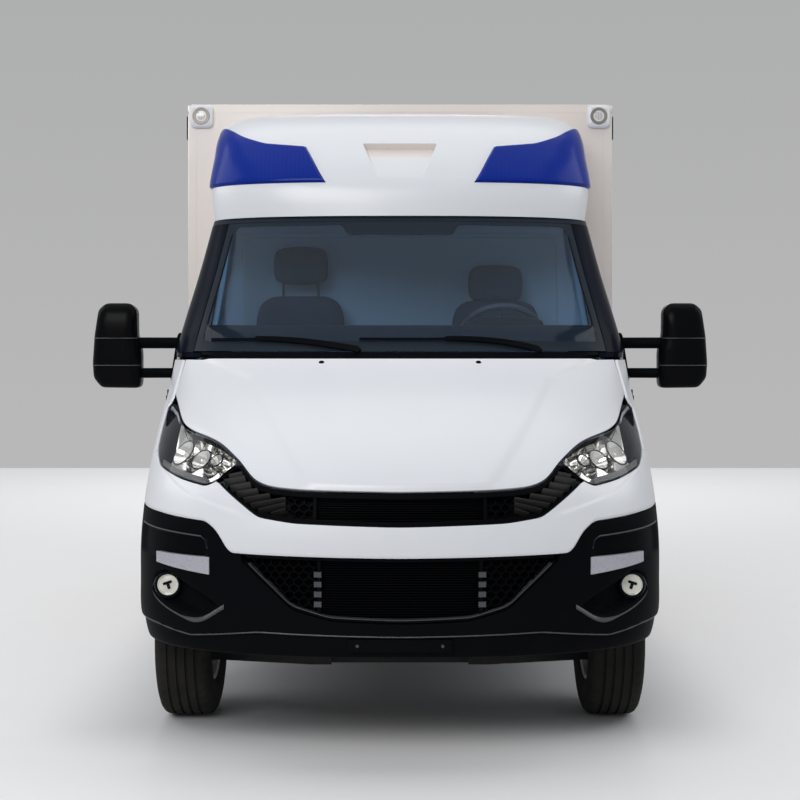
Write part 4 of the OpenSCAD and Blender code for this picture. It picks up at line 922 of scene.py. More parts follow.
def make_grilles():
    """Upper and lower grille: back plate, rims, honeycomb, level bars, dividers, blocks and slanted slats."""
    shape = Shape()

    def upper_low(t):
        return edge(GRILLE_EDGE, t) + 3

    def upper_high(t):
        turn = np.abs(t)
        return np.where(turn < 31, bonnet_low(turn) - GAP - 12, edge(LAMP_LOW, turn) - 3)

    def lower_low(t):
        return edge(MOUTH_LOW, t) + 4

    def lower_high(t):
        return edge(BAND_LOW, t) - 5

    for low, high, limit, levels in ((upper_low, upper_high, 35.5, 12), (lower_low, lower_high, 28.0, 14)):
        angles = np.linspace(-limit, limit, 121)
        base, top = low(angles), np.maximum(high(angles), low(angles) + 2)
        shape.layer(CAB, *panel_grid(angles, base, top, levels), 54, 60, 1)
        shape.tube(strip(CAB, angles, base, base + np.minimum(9, (top - base) * 0.4), 7, 52))
        cap = top
        if low is upper_low:
            lip = np.maximum(top, bonnet_low(angles) - GAP - 1)
            cap = np.where(np.abs(angles) < 30.5, lip, top)
        shape.tube(strip(CAB, angles, top - np.minimum(7, (top - base) * 0.3), cap, 9, 52))
    for base, low, high, inside, stop in ((896.0, upper_low, upper_high, 12.9, 19.0),
                                          (562.0, lower_low, lower_high, 12.0, 28.0)):
        honeycomb(shape, base, low, high, lambda t: (np.abs(t) > inside) & (np.abs(t) < stop))
        fins(shape, np.arange(base, base + 240, 9.0), low, high, inside - 0.3)
        for turn in (-inside, inside):
            foot, head = low(turn) + 6, high(turn) - 6
            shape.tube(strip(CAB, (turn - 0.32, turn + 0.32), foot, head, 14, 48))
    for turn in (-12.2, 12.2):
        for z in 604.0 + 35 * np.arange(4):
            shape.tube(strip(CAB, (turn - 0.7, turn + 0.7), z, z + 19, 8, 16), 2)
    shape.build("grille_bars", looks("plastic", "mesh", "grey"), "chassis", "black_plastic", ("grilles",), 0.0, 30)
    crest = Shape()
    turn = np.linspace(-24.5, 24.5, 99)
    crest.tube(strip(CAB, turn, upper_low(turn) + 9, upper_low(turn) + 15, 4, 30))
    # The lower rim is in grey as a painted highlight line
    turn = np.linspace(-27.2, 27.2, 109)
    crest.tube(strip(CAB, turn, lower_low(turn) + 8, lower_low(turn) + 11, 5, 30), 1)
    # Slanted louvres in the slat finish, lighter than the black grille as painted highlight
    for start in 1056.0 - 20 * np.arange(8):
        far = min(25 + (start - 915) / 10.17, 31 + (1102 - start) / 10.83) - 0.8
        turn = np.linspace(far, max(far - 10.0, 19.0), 30)
        line = start + np.linspace(0, 30, 30)
        fits = (upper_low(turn) + 10 < line - 6) & (line + 6 < upper_high(turn) - 3)
        for part in stretches(fits, 2):
            for side in (-1, 1):
                edges = [under(CAB, side * turn[part], line[part] + dz, depth)
                         for dz, depth in ((-9, 30.0), (5, 11.0), (7, 13.0), (-7, 34.0))]
                crest.tube(np.stack(edges, 1), 2)
    crest.build("grille_rims", looks("plastic", "grey", "slat"), "chassis", "black_plastic", (), 0.0, 30)


def make_headlamps():
    """Headlamps: clear cover on the body skin, dark tray, turned reflectors, bulbs and a light strip."""
    for side, name in ((1, "left"), (-1, "right")):
        angles = side * np.linspace(31.6, 69.4, 96)
        low = edge(LAMP_LOW, angles) + 1.5
        a, z = panel_grid(angles, low, np.maximum(lamp_high(angles) - 1.5, low + 3), 40)
        cover = Shape()
        cover.layer(CAB, a, z, 0.6, 3.6)
        cover.build("headlamp_cover_" + name, look("lens"), "chassis", "lamp")
        u = np.linspace(0, 1, 96)[None, :]
        v = np.linspace(0, 1, 40)[:, None]
        deep = 5 + 50 * np.sqrt(ease(np.minimum(v, 1 - v) / 0.2) * ease(np.minimum(u / 0.12, (1 - u) / 0.25)))
        border = (np.minimum(v, 1 - v) < 0.07) | (u > 0.8) | (u < 0.02)
        shape = Shape()
        shape.shell(under(CAB, a, z, deep), under(CAB, a, z, deep + 3), 1, face_marks=border[:-1, :-1])
        for turn, share, size in ((44.0, 0.55, 40), (52.5, 0.52, 50), (38.5, 0.62, 24)):
            height = mix(edge(LAMP_LOW, turn), lamp_high(turn), share)
            centre = under(CAB, side * turn, height, 20.0)
            axis = -outward(CAB, side * turn, height)
            t = np.linspace(0.06, 1, 12)
            bowl = [(size * k, 34 * (1 - k * k)) for k in t]
            back = [(size * k + 1.5, 34 * (1 - k * k) + 2) for k in t[::-1]]
            shape.tube(lathe(bowl + back, centre, axis, 56), 0, False)
            ring = [(size, 0), (size + 5, -1), (size + 6, 3), (size + 2, 5)]
            shape.tube(lathe(ring, centre, axis, 56), 1, False)
            bulb = [(0.3, 6), (size * 0.16, 8), (size * 0.2, 14), (size * 0.2, 30)]
            shape.tube(lathe(bulb, centre, axis, 24), 3, False)
        turns = side * np.linspace(40.5, 62.5, 60)
        foot = edge(LAMP_LOW, turns)
        shape.tube(strip(CAB, turns, foot + 6, foot + 26, 7, 30), 4)
        turns = side * np.linspace(57, 67, 30)
        crown = lamp_high(turns)
        shape.tube(strip(CAB, turns, crown - 20, crown - 8, 8, 26), 2)
        shape.build("headlamp_" + name, looks("chrome", "gloss", "silver", "white_lens", "grey"),
                    "chassis", "lamp", ("front_lamps",))


def make_fog_lamps():
    """Fog lamps: turned reflector, bezel and glass with a tilted shade, and the strips over them."""
    small, glass = Shape(), Shape()
    ahead, tilt = (0, 1, 0), math.radians(18)
    for side in (-1, 1):
        face = skin(CAB, side * angle_of(CAB, *FOG), FOG[1]) + np.array((0, 12.0, 0))
        bowl = [(0.4, 34), (16, 30), (30, 18), (37, 4), (38.5, 4), (38.5, 50)]
        small.tube(lathe(bowl, face, ahead, 48), 0, False)
        bezel = [(38, 3), (41, -3), (46, -4), (49, 2), (50, 50), (40, 50)]
        small.tube(lathe(bezel, face, ahead, 48), 1, False)
        # Pale disc over the reflector: painted glare of the lamp's reflector
        small.tube(lathe([(0.4, 9), (30, 10), (36, 14), (36, 20), (0.4, 20)], face, ahead, 40), 3)
        c, s = math.cos(tilt), side * math.sin(tilt)
        for wide, tall, off in ((34, 10, 7), (11, 24, -5)):
            shade = (rounded(wide, tall, 4) + np.array((0, off))) @ np.array([(c, -s), (s, c)])
            small.tube(slab(shade, pillow(face[1] + 4, face[1] + 14, 2), facing_front(face[0], FOG[1])), 1)
        turns = side * np.linspace(37.8, 59.5, 44)
        low = np.interp(np.abs(turns), (37.8, 59.5), (BUMPER_BASE + 322, BUMPER_BASE + 346))
        small.tube(strip(CAB, turns, low, BUMPER_BASE + 384, -4.5, 18), 2)
        pane = [(0.4, -4), (20, -3), (38, 1), (38, 3.5), (20, 0), (0.4, -1)]
        glass.tube(lathe(pane, face, ahead, 48), 0)
    small.build("fog_lamps", looks("chrome", "gloss", "silver", "cream"), "chassis", "lamp")
    glass.build("fog_lamp_glass", look("lens"), "chassis", "lamp")


def wing_top(y):
    """Height of the wing's upper edge at a station: beside the headlamp's tail, then beside the bonnet."""
    z = np.linspace(1060, COWL - 4, 200)
    turn = mix(70.8, 66.8, ease((z - 1278) / 34))
    return np.interp(y, skin(CAB, turn, z)[:, 1], z) - 9


def make_wings():
    """Front wings: rows from the arch to the bonnet and the lamp, on the cab's side, flared at the arch."""
    shape = Shape()
    low, high = span("tyre_front_left")
    axle, hub = (low + high)[1:] / 2
    y = np.linspace(BUMPER_END + 5, 1283, 60)
    foot = hub + np.sqrt(np.maximum(ARCH**2 - (y - axle) ** 2, 0))
    z = foot + (wing_top(y) - foot) * np.linspace(0, 1, 34)[:, None] ** 1.4
    y = np.broadcast_to(y, z.shape)
    lip = 6 * ease(1 - (np.hypot(y - axle, z - hub) - ARCH) / 34)
    face = np.stack([side_x(y, z) + lip, y, z], -1)
    back = np.stack([side_x(y, z) - 12, y, z], -1)
    turn = np.radians(np.linspace(37, 146, 40))
    along, up = axle - (ARCH - 2) * np.cos(turn), hub + (ARCH - 2) * np.sin(turn)
    ring = np.stack([side_x(along, up), along, up], -1)
    flange = np.stack([ring, ring - np.array((44.0, 0, 0))])
    lower = np.array([0, 1, 1]) * (ring - np.array((0, axle, hub))) * 0.006
    for side in (-1, 1):
        shape.shell(mirrored(face, side), mirrored(back, side))
        shape.shell(mirrored(flange, side), mirrored(flange - lower, side), 1)
    shape.build("wing_panels", looks("white", "rubber"), "chassis", "white_paint", ("front_wings",), 1.5)


def make_screen():
    """Windscreen on the cab skin with its black border, the pillars' covers and the strips round it."""
    limit, foot = PILLAR_START - 0.2, COWL_TOP + 7
    pane = Shape()
    pane.layer(CAB, *panel_grid(np.linspace(-limit, limit, 81), foot, ROOF_BASE, 41), 0.6, 6.8)
    pane.build("windscreen_pane", look("glass"), "chassis", "glass", ("windscreen",))
    border = Shape()
    angles = np.linspace(-limit, limit, 161)
    across = np.abs(skin(CAB, angles, ROOF_BASE - 30.0)[:, 0])
    dipped = ROOF_BASE - 17 - 46 * ease((262 - across) / 40)
    z = np.linspace(foot, ROOF_BASE, 90)[:, None]
    bow = np.maximum(np.abs(z - (foot + ROOF_BASE) / 2) - (ROOF_BASE - foot) / 2 + 95, 0) - 14
    corner = 80 - np.sqrt(np.maximum(80.0**2 - np.maximum(bow, 0) ** 2, 0))
    inner = angle_of(CAB, skin(CAB, PILLAR_START, z)[..., 0] - 27 - corner, z)
    turn = inner + (limit - inner) * np.linspace(0, 1, 8)
    border.layer(CAB, *panel_grid(angles, foot, foot + 40, 5), -0.1, 0.5)
    border.layer(CAB, *panel_grid(angles, dipped, ROOF_BASE, 5), -0.1, 0.5)
    for side in (-1, 1):
        border.layer(CAB, *np.broadcast_arrays(side * turn, z), -0.1, 0.5)
    border.build("windscreen_border", look("border"), "chassis", "glass")
    cover = Shape()
    for side in (-1, 1):
        turn = side * np.linspace(PILLAR_START + 0.3, PILLAR_END - 0.4, 22)
        a, z = panel_grid(turn, COWL_TOP + 2, ROOF_BASE - 1, 40)
        crown = 1.6 + 2.5 * np.sin(np.pi * (np.abs(a) - PILLAR_START) / (PILLAR_END - PILLAR_START))
        cover.layer(CAB, a, z, -crown, 8)
    turn = np.linspace(-PILLAR_END + 1, PILLAR_END - 1, 161)
    cover.layer(CAB, *panel_grid(turn, ROOF_BASE + 1, HEADER, 5), -1.6, 6, 2)
    turn = np.linspace(-56, 56, 141)
    foot = under(CAB, turn, COWL - 9, 18) + np.array((0, 9.0, 4.0))
    foot[:, 2] += 26 * ease((np.abs(turn) - 47) / 4)
    cowl = loop_between(foot, under(CAB, turn, COWL_TOP + 4, 1), 6)
    cover.shell(cowl, cowl + np.array((0, 5.0, -3.0)), 1)
    cover.build("pillar_covers", looks("gloss", "plastic", "border"), "chassis", "black_plastic", (), 0.8)


def make_wipers():
    """Two wipers: rubber edge and carrier along the glass, arm from its spindle, spindle cap."""
    shape = Shape()
    line, foot = COWL_TOP + 53.0, COWL_TOP + 6.0
    for start, end, pivot in ((-52, -20, -7), (-7, 20, 32)):
        turn = np.linspace(start, end, 60)
        shape.tube(strip(CAB, turn, line - 2, line + 2, -5, -1), 1)
        shape.tube(strip(CAB, turn, line - 6, line + 5, -8, -4.5))
        middle = mix(start, end, 0.55)
        turn = np.linspace(pivot, middle, 40)
        share = (turn - pivot) / (middle - pivot)
        arm, wide = mix(foot, line, 1 - (1 - share) ** 2.2), mix(13, 9, share)
        shape.tube(strip(CAB, turn, arm - wide, arm + wide, -13, -7.5))
        base, axis = skin(CAB, pivot, foot), outward(CAB, pivot, foot)
        shape.tube(lathe([(0.4, 14), (7, 14), (10, 11), (10.5, 3), (0.4, 3)], base, axis, 32))
    shape.build("wiper_set", looks("plastic", "rubber"), "chassis", "black_plastic", ("wipers",), 0.8)


def make_fairing():
    """Roof fairing: its own skin from the header to the box, with a shallow recess over the screen."""
    z = HEADER + even_runs((0.6, 165, 10), (165, 345, 34), (345, 559, 24))[:, None]
    share_round = both_sides((0, 1.8, 6), (1.8, 6.2, 36), (6.2, 90, 42)) / 90
    a, z = np.broadcast_arrays(share_round * angle_at(FAIRING, CAB_LENGTH + 8, z), z)
    flat, normal = skin(FAIRING, a, z), outward(FAIRING, a, z)
    share = np.clip((z - HEADER - 172) / 163, 0, 1)
    within = ease((mix(100, 166, share) - np.abs(flat[..., 0])) / 8) * (z < HEADER + 337)
    face = flat - (sized("recess_depth") * share**1.3 * within)[..., None] * normal
    marks = ((within > 0.9) & (share > 0.66))[:-1, :-1]
    shape = Shape()
    shape.shell(face, flat - 40 * normal, 0, face_marks=marks)
    shape.build("fairing_shell", looks("white", "box"), "chassis", "white_paint", ("roof_fairing",), 1.5)


def make_beacons():
    """Wrap-round warning lenses: pillowed over the fairing, highest where they run round its corners."""
    shape = Shape()
    v = np.linspace(0, 1, 30)[:, None]
    u = np.linspace(0, 1, 100)[None, :]
    turn = mix(mix(16.4, 22.3, v), 98.0, u)
    low = HEADER + 152.0
    high = np.mean([np.interp(turn + s, *LENS_HIGH.T) for s in (-1.2, 0, 1.2)], axis=0)
    z = mix(low, high, v)
    near = np.minimum(np.minimum(z - low, high - z) / 16, np.minimum(u * 60, (1 - u) * 60))
    puff = sized("lens_swell") * np.sqrt(1 - (1 - np.clip(near, 0, 1)) ** 2) + 0.3
    for side in (-1, 1):
        shape.layer(FAIRING, side * turn, z, -puff, 3)
    shape.build("beacon_lenses", look("blue"), "chassis", "blue_lens", ("beacons",))


def loop_between(inner, outer, rings):
    """Rings of points that go evenly from one closed outline to another with as many points."""
    s = np.linspace(0, 1, rings)[:, None, None]
    return inner + (outer - inner) * s


def loop_at(outline, centre, turns):
    """Points where rays from the centre meet a closed outline, one for each direction."""
    start, end = outline - centre, np.roll(outline, -1, 0) - centre
    ray = np.stack([np.cos(turns), np.sin(turns)], -1)
    step = end - start
    crossed = step[None, :, 0] * ray[:, None, 1] - step[None, :, 1] * ray[:, None, 0]
    crossed = np.where(np.abs(crossed) < 1e-9, 1e-9, crossed)
    along = (start[None, :, 1] * ray[:, None, 0] - start[None, :, 0] * ray[:, None, 1]) / crossed
    reach = (start[None, :, 1] * step[None, :, 0] - start[None, :, 0] * step[None, :, 1]) / crossed
    hit = (along >= -1e-6) & (along <= 1 + 1e-6) & (reach > 0)
    far = np.where(hit, reach, np.inf).min(axis=1)
    return centre + far[:, None] * ray


def pillar_line(z):
    """Station of the pillar's rear edge, by height."""
    return skin(CAB, PILLAR_END, z)[..., 1]


def softened(outline, passes=10):
    """Closed outline set at even spacing and averaged with its neighbours, which rounds its corners."""
    closed = np.concatenate([outline, outline[:1]])
    far = np.concatenate([[0], np.cumsum(np.linalg.norm(np.diff(closed, axis=0), axis=1))])
    at = np.linspace(0, far[-1], 601)[:-1]
    even = np.stack([np.interp(at, far, closed[:, c]) for c in (0, 1)], -1)
    for _ in range(passes):
        even = (np.roll(even, 1, 0) + 2 * even + np.roll(even, -1, 0)) / 4
    return even


def door_outline():
    """Edge of the cab door, along and up: arch cut, hinge edge, pillar, roof and rear edge."""
    turn = np.radians(np.linspace(20.5, 47.0, 10))
    arch = np.stack([1000 + 431 * np.cos(turn), 350 + 431 * np.sin(turn)], -1)
    arch = arch[(arch[:, 0] > DOOR_FRONT) & (arch[:, 1] > DOOR_SILL)]
    z = np.linspace(COWL_TOP + 30, 2073, 14)
    rear = [(2058, 2073), (2058, DOOR_SILL), (arch[0, 0] + 4, DOOR_SILL)]
    front = np.stack([np.maximum(pillar_line(z) + 19, DOOR_FRONT), z], -1)
    return np.concatenate([rear, arch, [(DOOR_FRONT, 720), (DOOR_FRONT, COWL_TOP)], front])


def window_outline():
    """Edge of the door's window, along and up: rear edge, lower edge, then along the pillar."""
    z = np.linspace(COWL_TOP + 40, 2008, 12)
    front = np.stack([np.maximum(pillar_line(z) + 72, 1356), z], -1)
    return np.concatenate([[(1993, 2008), (1993, 1430), (1356, 1430)], front])


def door_plate(outline, levels, side):
    """Rounded plate on the cab's side: each level is an inset of the outline and how far it stands out."""
    return np.stack([door_skin(inset(outline, draw), lift, side) for draw, lift in levels])


def door_skin(flat, proud, side):
    """Points of an outline along and up, placed on the cab's side."""
    return np.stack([side * (half_at(flat[..., 1]) + proud), flat[..., 0], flat[..., 1]], -1)


def make_doors():
    """Cab doors: rings from the window to the door's edge on the cab's side, with seal, handle and lining."""
    centre = np.array((1690.0, 1690.0))
    turns = np.linspace(0, 2 * math.pi, 280, endpoint=False)
    window = softened(window_outline(), 24)
    hole, outer = loop_at(window, centre, turns), loop_at(softened(door_outline(), 4), centre, turns)
    rings = loop_between(hole, outer, 26)
    z = rings[..., 1]
    swage = -7 * ease((1 - np.abs(z - 1015) / 26)) - 5 * ease((z - 1395) / 12) * ease((1424 - z) / 10)
    proud = swage - 5 * np.exp(-np.linspace(0, 40, 26)[:, None] / 1.2) - 0.4
    lining = softened(rounded(610, 790, 90), 10)[::4] + np.array((1690.0, 985.0))
    rest = softened(rounded(420, 62, 28), 6)[::6] + np.array((1760.0, 1130.0))
    seal_section = ((9, -3), (7, 2.2), (-2, 2.2), (-9, -6), (-9, -30), (9, -30))
    handle, rail = half_at(1120.0), half_at(740.0)
    for side, name in ((1, "left"), (-1, "right")):
        panel = Shape()
        panel.shell(door_skin(rings, proud, side), door_skin(rings, -57.0, side), wrap=True)
        panel.build("door_panel_" + name, look("white"), "cab_door_" + name, "white_paint",
                    ("cab_door_" + name,), 1.2)
        trim = Shape()
        ring = door_plate(window[::2], seal_section, side)
        trim.sheet(np.concatenate([ring, ring[:1]]), 0, True)
        for outline, low, high, radius, y, height in (
                (rounded(178, 62, 26), handle - 6, handle + 3, 3, 1955, 1120),
                (rounded(150, 34, 15), handle + 1, handle + 21, 7, 1955, 1122),
                (rounded(640, 66, 10), rail - 6, rail + 7, 6, 1724, 740)):
            trim.tube(slab(outline, pillow(low, high, radius), facing_side(side, y, height)))
        trim.tube(door_plate(lining, ((0, -52), (0, -58), (3, -61), (10, -63), (60, -63.5)), side), 1)
        trim.tube(door_plate(rest, ((0, -60), (0, -80), (6, -90), (18, -93)), side), 1)
        trim.build("door_trim_" + name, looks("plastic", "trim"), "cab_door_" + name, "black_plastic", (), 0.6)


MIRROR = np.array([(16, 14), (168, 16), (196, 50), (200, 110), (192, 230), (176, 336), (150, 358), (52, 358),
                   (34, 336), (32, 230), (14, 160), (14, 30)], float)


def seam(flat, scale, back, height):
    """Line across a domed housing at one height: where each ring's outline crosses it, far side and near."""
    middle = flat.mean(0)
    far, near = [], []
    for share, y in zip(scale, back):
        ring = middle + (flat - middle) * share
        if ring[:, 1].min() < height < ring[:, 1].max():
            for half, path in ((ring[ring[:, 0] > middle[0]], far), (ring[ring[:, 0] < middle[0]], near)):
                half = half[np.argsort(half[:, 1])]
                path.append((np.interp(height, half[:, 1], half[:, 0]), y - 0.5, height))
    return np.array(far[::-1] + near)


def mirror_rings(flat, scale, back, side):
    """Rings of a mirror: its outline scaled about its middle and carried to each station."""
    middle = flat.mean(0)
    ring = middle + (flat - middle) * np.asarray(scale)[:, None, None]
    return np.stack([side * ring[..., 0], np.asarray(back)[:, None] + 0 * ring[..., 0], ring[..., 1]], -1)


def make_mirrors():
    """Door mirrors: domed housing with its seams and its glass, two arms and the base on the door."""
    flat = (softened(inset(softened(MIRROR, 0), -13.5), 60) + np.array((1129.0, 1342.0)))[::4]
    turn = np.radians(np.linspace(6, 90, 16))
    scale = np.concatenate([np.sin(turn) ** 0.55, (1, 0.985, 0.96, 0.93, 0.92)])
    back = np.concatenate([1233 + 52 * (1 - np.cos(turn)), (1332, 1338.5, 1341, 1341, 1338)])
    base = rounded(94, 216, 22) + np.array((1352.0, 1477.0))
    for side, name in ((1, "left"), (-1, "right")):
        shape = Shape()
        shape.tube(mirror_rings(flat, scale, back, side))
        for height in (1560.0, 1442.0):
            shape.tube(mirrored(sweep(seam(flat, scale[2:13], back[2:13], height), 2.0, 8), side), 3)
        shape.tube(mirror_rings(flat, (0.915, 0.915, 0.905), (1334, 1339.5, 1340.5), side), 1)
        for height, radius in ((1540.0, 20), (1408.0, 18)):
            start = half_at(height) + 10
            path = smooth_path([(start, 1336, height), (start + 70, 1330, height), (1155, 1304, height),
                                (1190, 1298, height)], 24)
            shape.tube(mirrored(sweep(path, radius, 20, 1.22), side), 2)
        shape.tube(door_plate(base, pillow(2, 21, 8), side), 2)
        shape.build("mirror_" + name + "_set", looks("housing", "mirror", "plastic", "grey"),
                    "cab_door_" + name, "black_plastic", ("mirror_" + name,), 0.0, 50)


SEAT_X = 460.0

PASSENGER_X = -478.0


def pad(width, depth, height, squareness, dish, edge_power):
    """Crowned pad: a superellipsoid, one exponent for its outline, one for its edge, dished along its top."""
    up = np.linspace(-1, 1, 56)[:, None] * math.pi / 2
    turn = np.linspace(0, 2 * math.pi, 72, endpoint=False)[None, :]

    def power(value, n):
        return np.sign(value) * np.abs(value) ** (2 / n)

    x = width / 2 * power(np.cos(up), edge_power) * power(np.cos(turn), squareness)
    y = depth / 2 * power(np.cos(up), edge_power) * power(np.sin(turn), squareness)
    z = height / 2 * power(np.sin(up), edge_power) + 0 * turn
    z = z - dish * np.exp(-((x / (width * 0.34)) ** 2)) * (z > 0)
    return np.stack([x, y, z], -1)


def vertex_places(mesh):
    """Places of a mesh's vertices, one row each."""
    places = np.empty(len(mesh.vertices) * 3)
    mesh.vertices.foreach_get("co", places)
    return places.reshape(-1, 3)


def leaned(grid, centre, degrees):
    """Grid turned back about the cross axis and moved to its place."""
    c, s = math.cos(math.radians(degrees)), math.sin(math.radians(degrees))
    x, y, z = grid[..., 0], grid[..., 1], grid[..., 2]
    return np.stack([x, y * c + z * s, z * c - y * s], -1) + np.asarray(centre, float)


def swell(piece, cap):
    """Inflates a pad with cloth pressure, on an even mesh, and keeps each point within the cap."""
    scene = bpy.context.scene
    work = piece.copy()
    work.data = piece.data.copy()
    scene.collection.objects.link(work)
    remesh = work.modifiers.new("even", "REMESH")
    remesh.mode, remesh.voxel_size = "VOXEL", 0.0135
    even = bpy.data.meshes.new_from_object(work.evaluated_get(bpy.context.evaluated_depsgraph_get()))
    work.modifiers.clear()
    work.data = even
    cloth = work.modifiers.new("air", "CLOTH")
    cloth.settings.use_pressure = True
    cloth.settings.uniform_pressure_force = 4.0
    cloth.settings.effector_weights.gravity = 0.0
    cloth.settings.quality = 4
    cloth.point_cache.frame_start, cloth.point_cache.frame_end = 1, 20
    start = vertex_places(even)
    for number in range(1, 21):
        scene.frame_set(number)
        bpy.context.view_layer.update()
    step = vertex_places(work.evaluated_get(bpy.context.evaluated_depsgraph_get()).to_mesh()) - start
    scene.frame_set(1)
    far = np.linalg.norm(step, axis=1, keepdims=True)
    held = start + step * np.minimum(1, cap / np.maximum(far, 1e-9))
    work.modifiers.clear()
    even.vertices.foreach_set("co", held.ravel())
    even.polygons.foreach_set("use_smooth", np.ones(len(even.polygons), bool))
    old = piece.data
    for material in old.materials:
        even.materials.append(material)
    piece.data = even
    bpy.data.objects.remove(work)
    bpy.data.meshes.remove(old)


def make_seats():
    """Two seats: swollen cushion, back and headrest in cloth, on a pedestal with two headrest posts."""
    pads = (("cushion", pad(470, 400, 128, 3.6, 14, 2.6), (1640, 1022), 5, 1.0, 0),
            ("back", pad(452, 112, 720, 3.4, 0.0, 5.0), (1897, 1404), 8, 1.0, 20),
            ("headrest", pad(264, 92, 180, 3.4, 0.0, 4.2), (1950, 1826), 8, 0.7, 88))
    for label, grid, (y, z), lean, cap, raised in pads:
        shape = Shape()
        if label == "back":
            grid[..., 1] -= 16 * (grid[..., 0] / 240) ** 2
        shape.tube(leaned(grid, (SEAT_X, y, z), lean))
        first = shape.build("seat_" + label + "_left", look("cloth"), "chassis", "fabric",
                            ("seats",) if label == "cushion" else (), 0.0, 80)
        swell(first, cap * sized("seat_swell") * MM)
        copied = first.data.copy()
        spots = vertex_places(copied) + np.array((PASSENGER_X - SEAT_X, 0, raised)) * MM
        copied.vertices.foreach_set("co", spots.ravel())
        second = bpy.data.objects.new("seat_" + label + "_right", copied)
        bpy.context.scene.collection.objects.link(second)
        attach(second, "chassis")
        for piece in (first, second):
            finer = piece.modifiers.new("smooth", "SUBSURF")
            finer.levels = finer.render_levels = 1
    stand = Shape()
    for x, post_top in ((PASSENGER_X, 1868), (SEAT_X, 1780)):
        stand.tube(slab(rounded(392, 412, 40), pillow(694, 968, 12), facing_up(x, 1725)))
        stand.tube(slab(rounded(440, 30, 14), pillow(1010, 1120, 8), facing_up(x, 1866)))
        for post in (x - 84, x + 84):
            stand.tube(sweep(np.linspace((post, 1936, 1700), (post, 1950, post_top), 4), 6, 12))
    stand.build("seat_stands", look("trim"), "chassis", "dark_trim", (), 1.0)


def make_dashboard():
    """Dashboard: rounded section carried across the cab, with an instrument hood, vents and a console."""
    section = np.array([(1236, 1150), (1236, 1480), (1152, 1508), (1160, 1552), (1275, 1618), (1395, 1608),
                        (1438, 1500), (1386, 1256), (1318, 1150)], float)
    flat = softened(section[::-1], 30)[::4]
    shape = Shape()
    shape.tube(slab(flat, pillow(-850, 850, 22), lambda u, v, w: np.stack([w, u, v], -1)))
    hood = np.array([(-180, -40), (180, -40), (165, 30), (90, 52), (-90, 52), (-165, 30)], float)
    levels = [(6, 1300), (0, 1310), (0, 1412), (4, 1416), (14, 1416), (16, 1404)]
    shape.tube(slab(softened(hood, 40)[::6], levels, facing_front(SEAT_X, 1606)))
    for x in (-780, -140, 140, 780):
        shape.tube(slab(rounded(130, 70, 12), pillow(1418, 1436, 4), facing_front(x, 1520)), 1)
    shape.tube(slab(rounded(250, 190, 18), pillow(1330, 1432, 8), facing_front(0, 1400)), 1)
    shape.build("dashboard_moulding", looks("trim", "gloss"), "chassis", "dark_trim", ("dashboard",), 0.0, 45)
    lining = Shape()
    lining.tube(slab(rounded(1540, 940, 60), pillow(2048, 2062, 5), facing_front(0, 1590)))
    lining.build("bulkhead_lining", look("beige"), "chassis", "white_paint", (), 0.0, 45)


def make_steering():
    """Steering wheel: turned ring, hub pad and three spokes about the column's axis."""
    axis = np.array((0.0, 0.766, 0.643))
    centre = np.array((SEAT_X, 1540.0, 1560.0))
    shape = Shape()
    turn = np.linspace(0, 2 * math.pi, 17)
    ring = np.column_stack([188 + 13.5 * np.cos(turn), 13.5 * np.sin(turn)])
    shape.sheet(lathe(ring, centre, axis, 96), 0, True)
    hub = [(0.5, -8), (44, -8), (58, -14), (62, -34), (40, -50), (14, -52), (14, -140), (0.5, -140)]
    shape.tube(lathe(hub, centre, axis, 48))
    side = np.array((1.0, 0, 0))
    up = np.cross(axis, side)
    for degrees in (10, 170, 270):
        way = math.cos(math.radians(degrees)) * side + math.sin(math.radians(degrees)) * up
        path = np.array([centre + way * r - axis * d for r, d in ((40, 26), (90, 22), (140, 12), (186, 2))])
        shape.tube(sweep(smooth_path(path, 12), 13, 12, 0.6))
    # The wheel's finish is lighter than the cabin trim as painted highlight
    shape.build("steering_rim", look("grip"), "steering_wheel", "dark_trim", ("steering_wheel",), 0.0, 50)


def frame_ring(shape, outline, surface, place):
    """Seal round an outline: each point of its section is an inset and a height over the surface."""
    rings = slab(outline, [(draw, surface + lift) for draw, lift in SEAL], place)
    shape.sheet(np.concatenate([rings, rings[:1]]), 0, True)


def box_handle(shape, surface, place, plate, grip, proud, radius):
    """Door handle: a thin plate and a rounded grip over it, each a width, a height and a corner."""
    shape.tube(slab(rounded(*plate), pillow(surface - 1, surface + 4, 3), place))
    shape.tube(slab(rounded(*grip), pillow(surface + 2, surface + proud, radius), place))


SEAL = ((-22, -1), (-20, 5), (-12, 8), (0, 8), (6, 4), (8, -4), (8, -16), (-20, -16))

DOOR_BACK = 5816.0


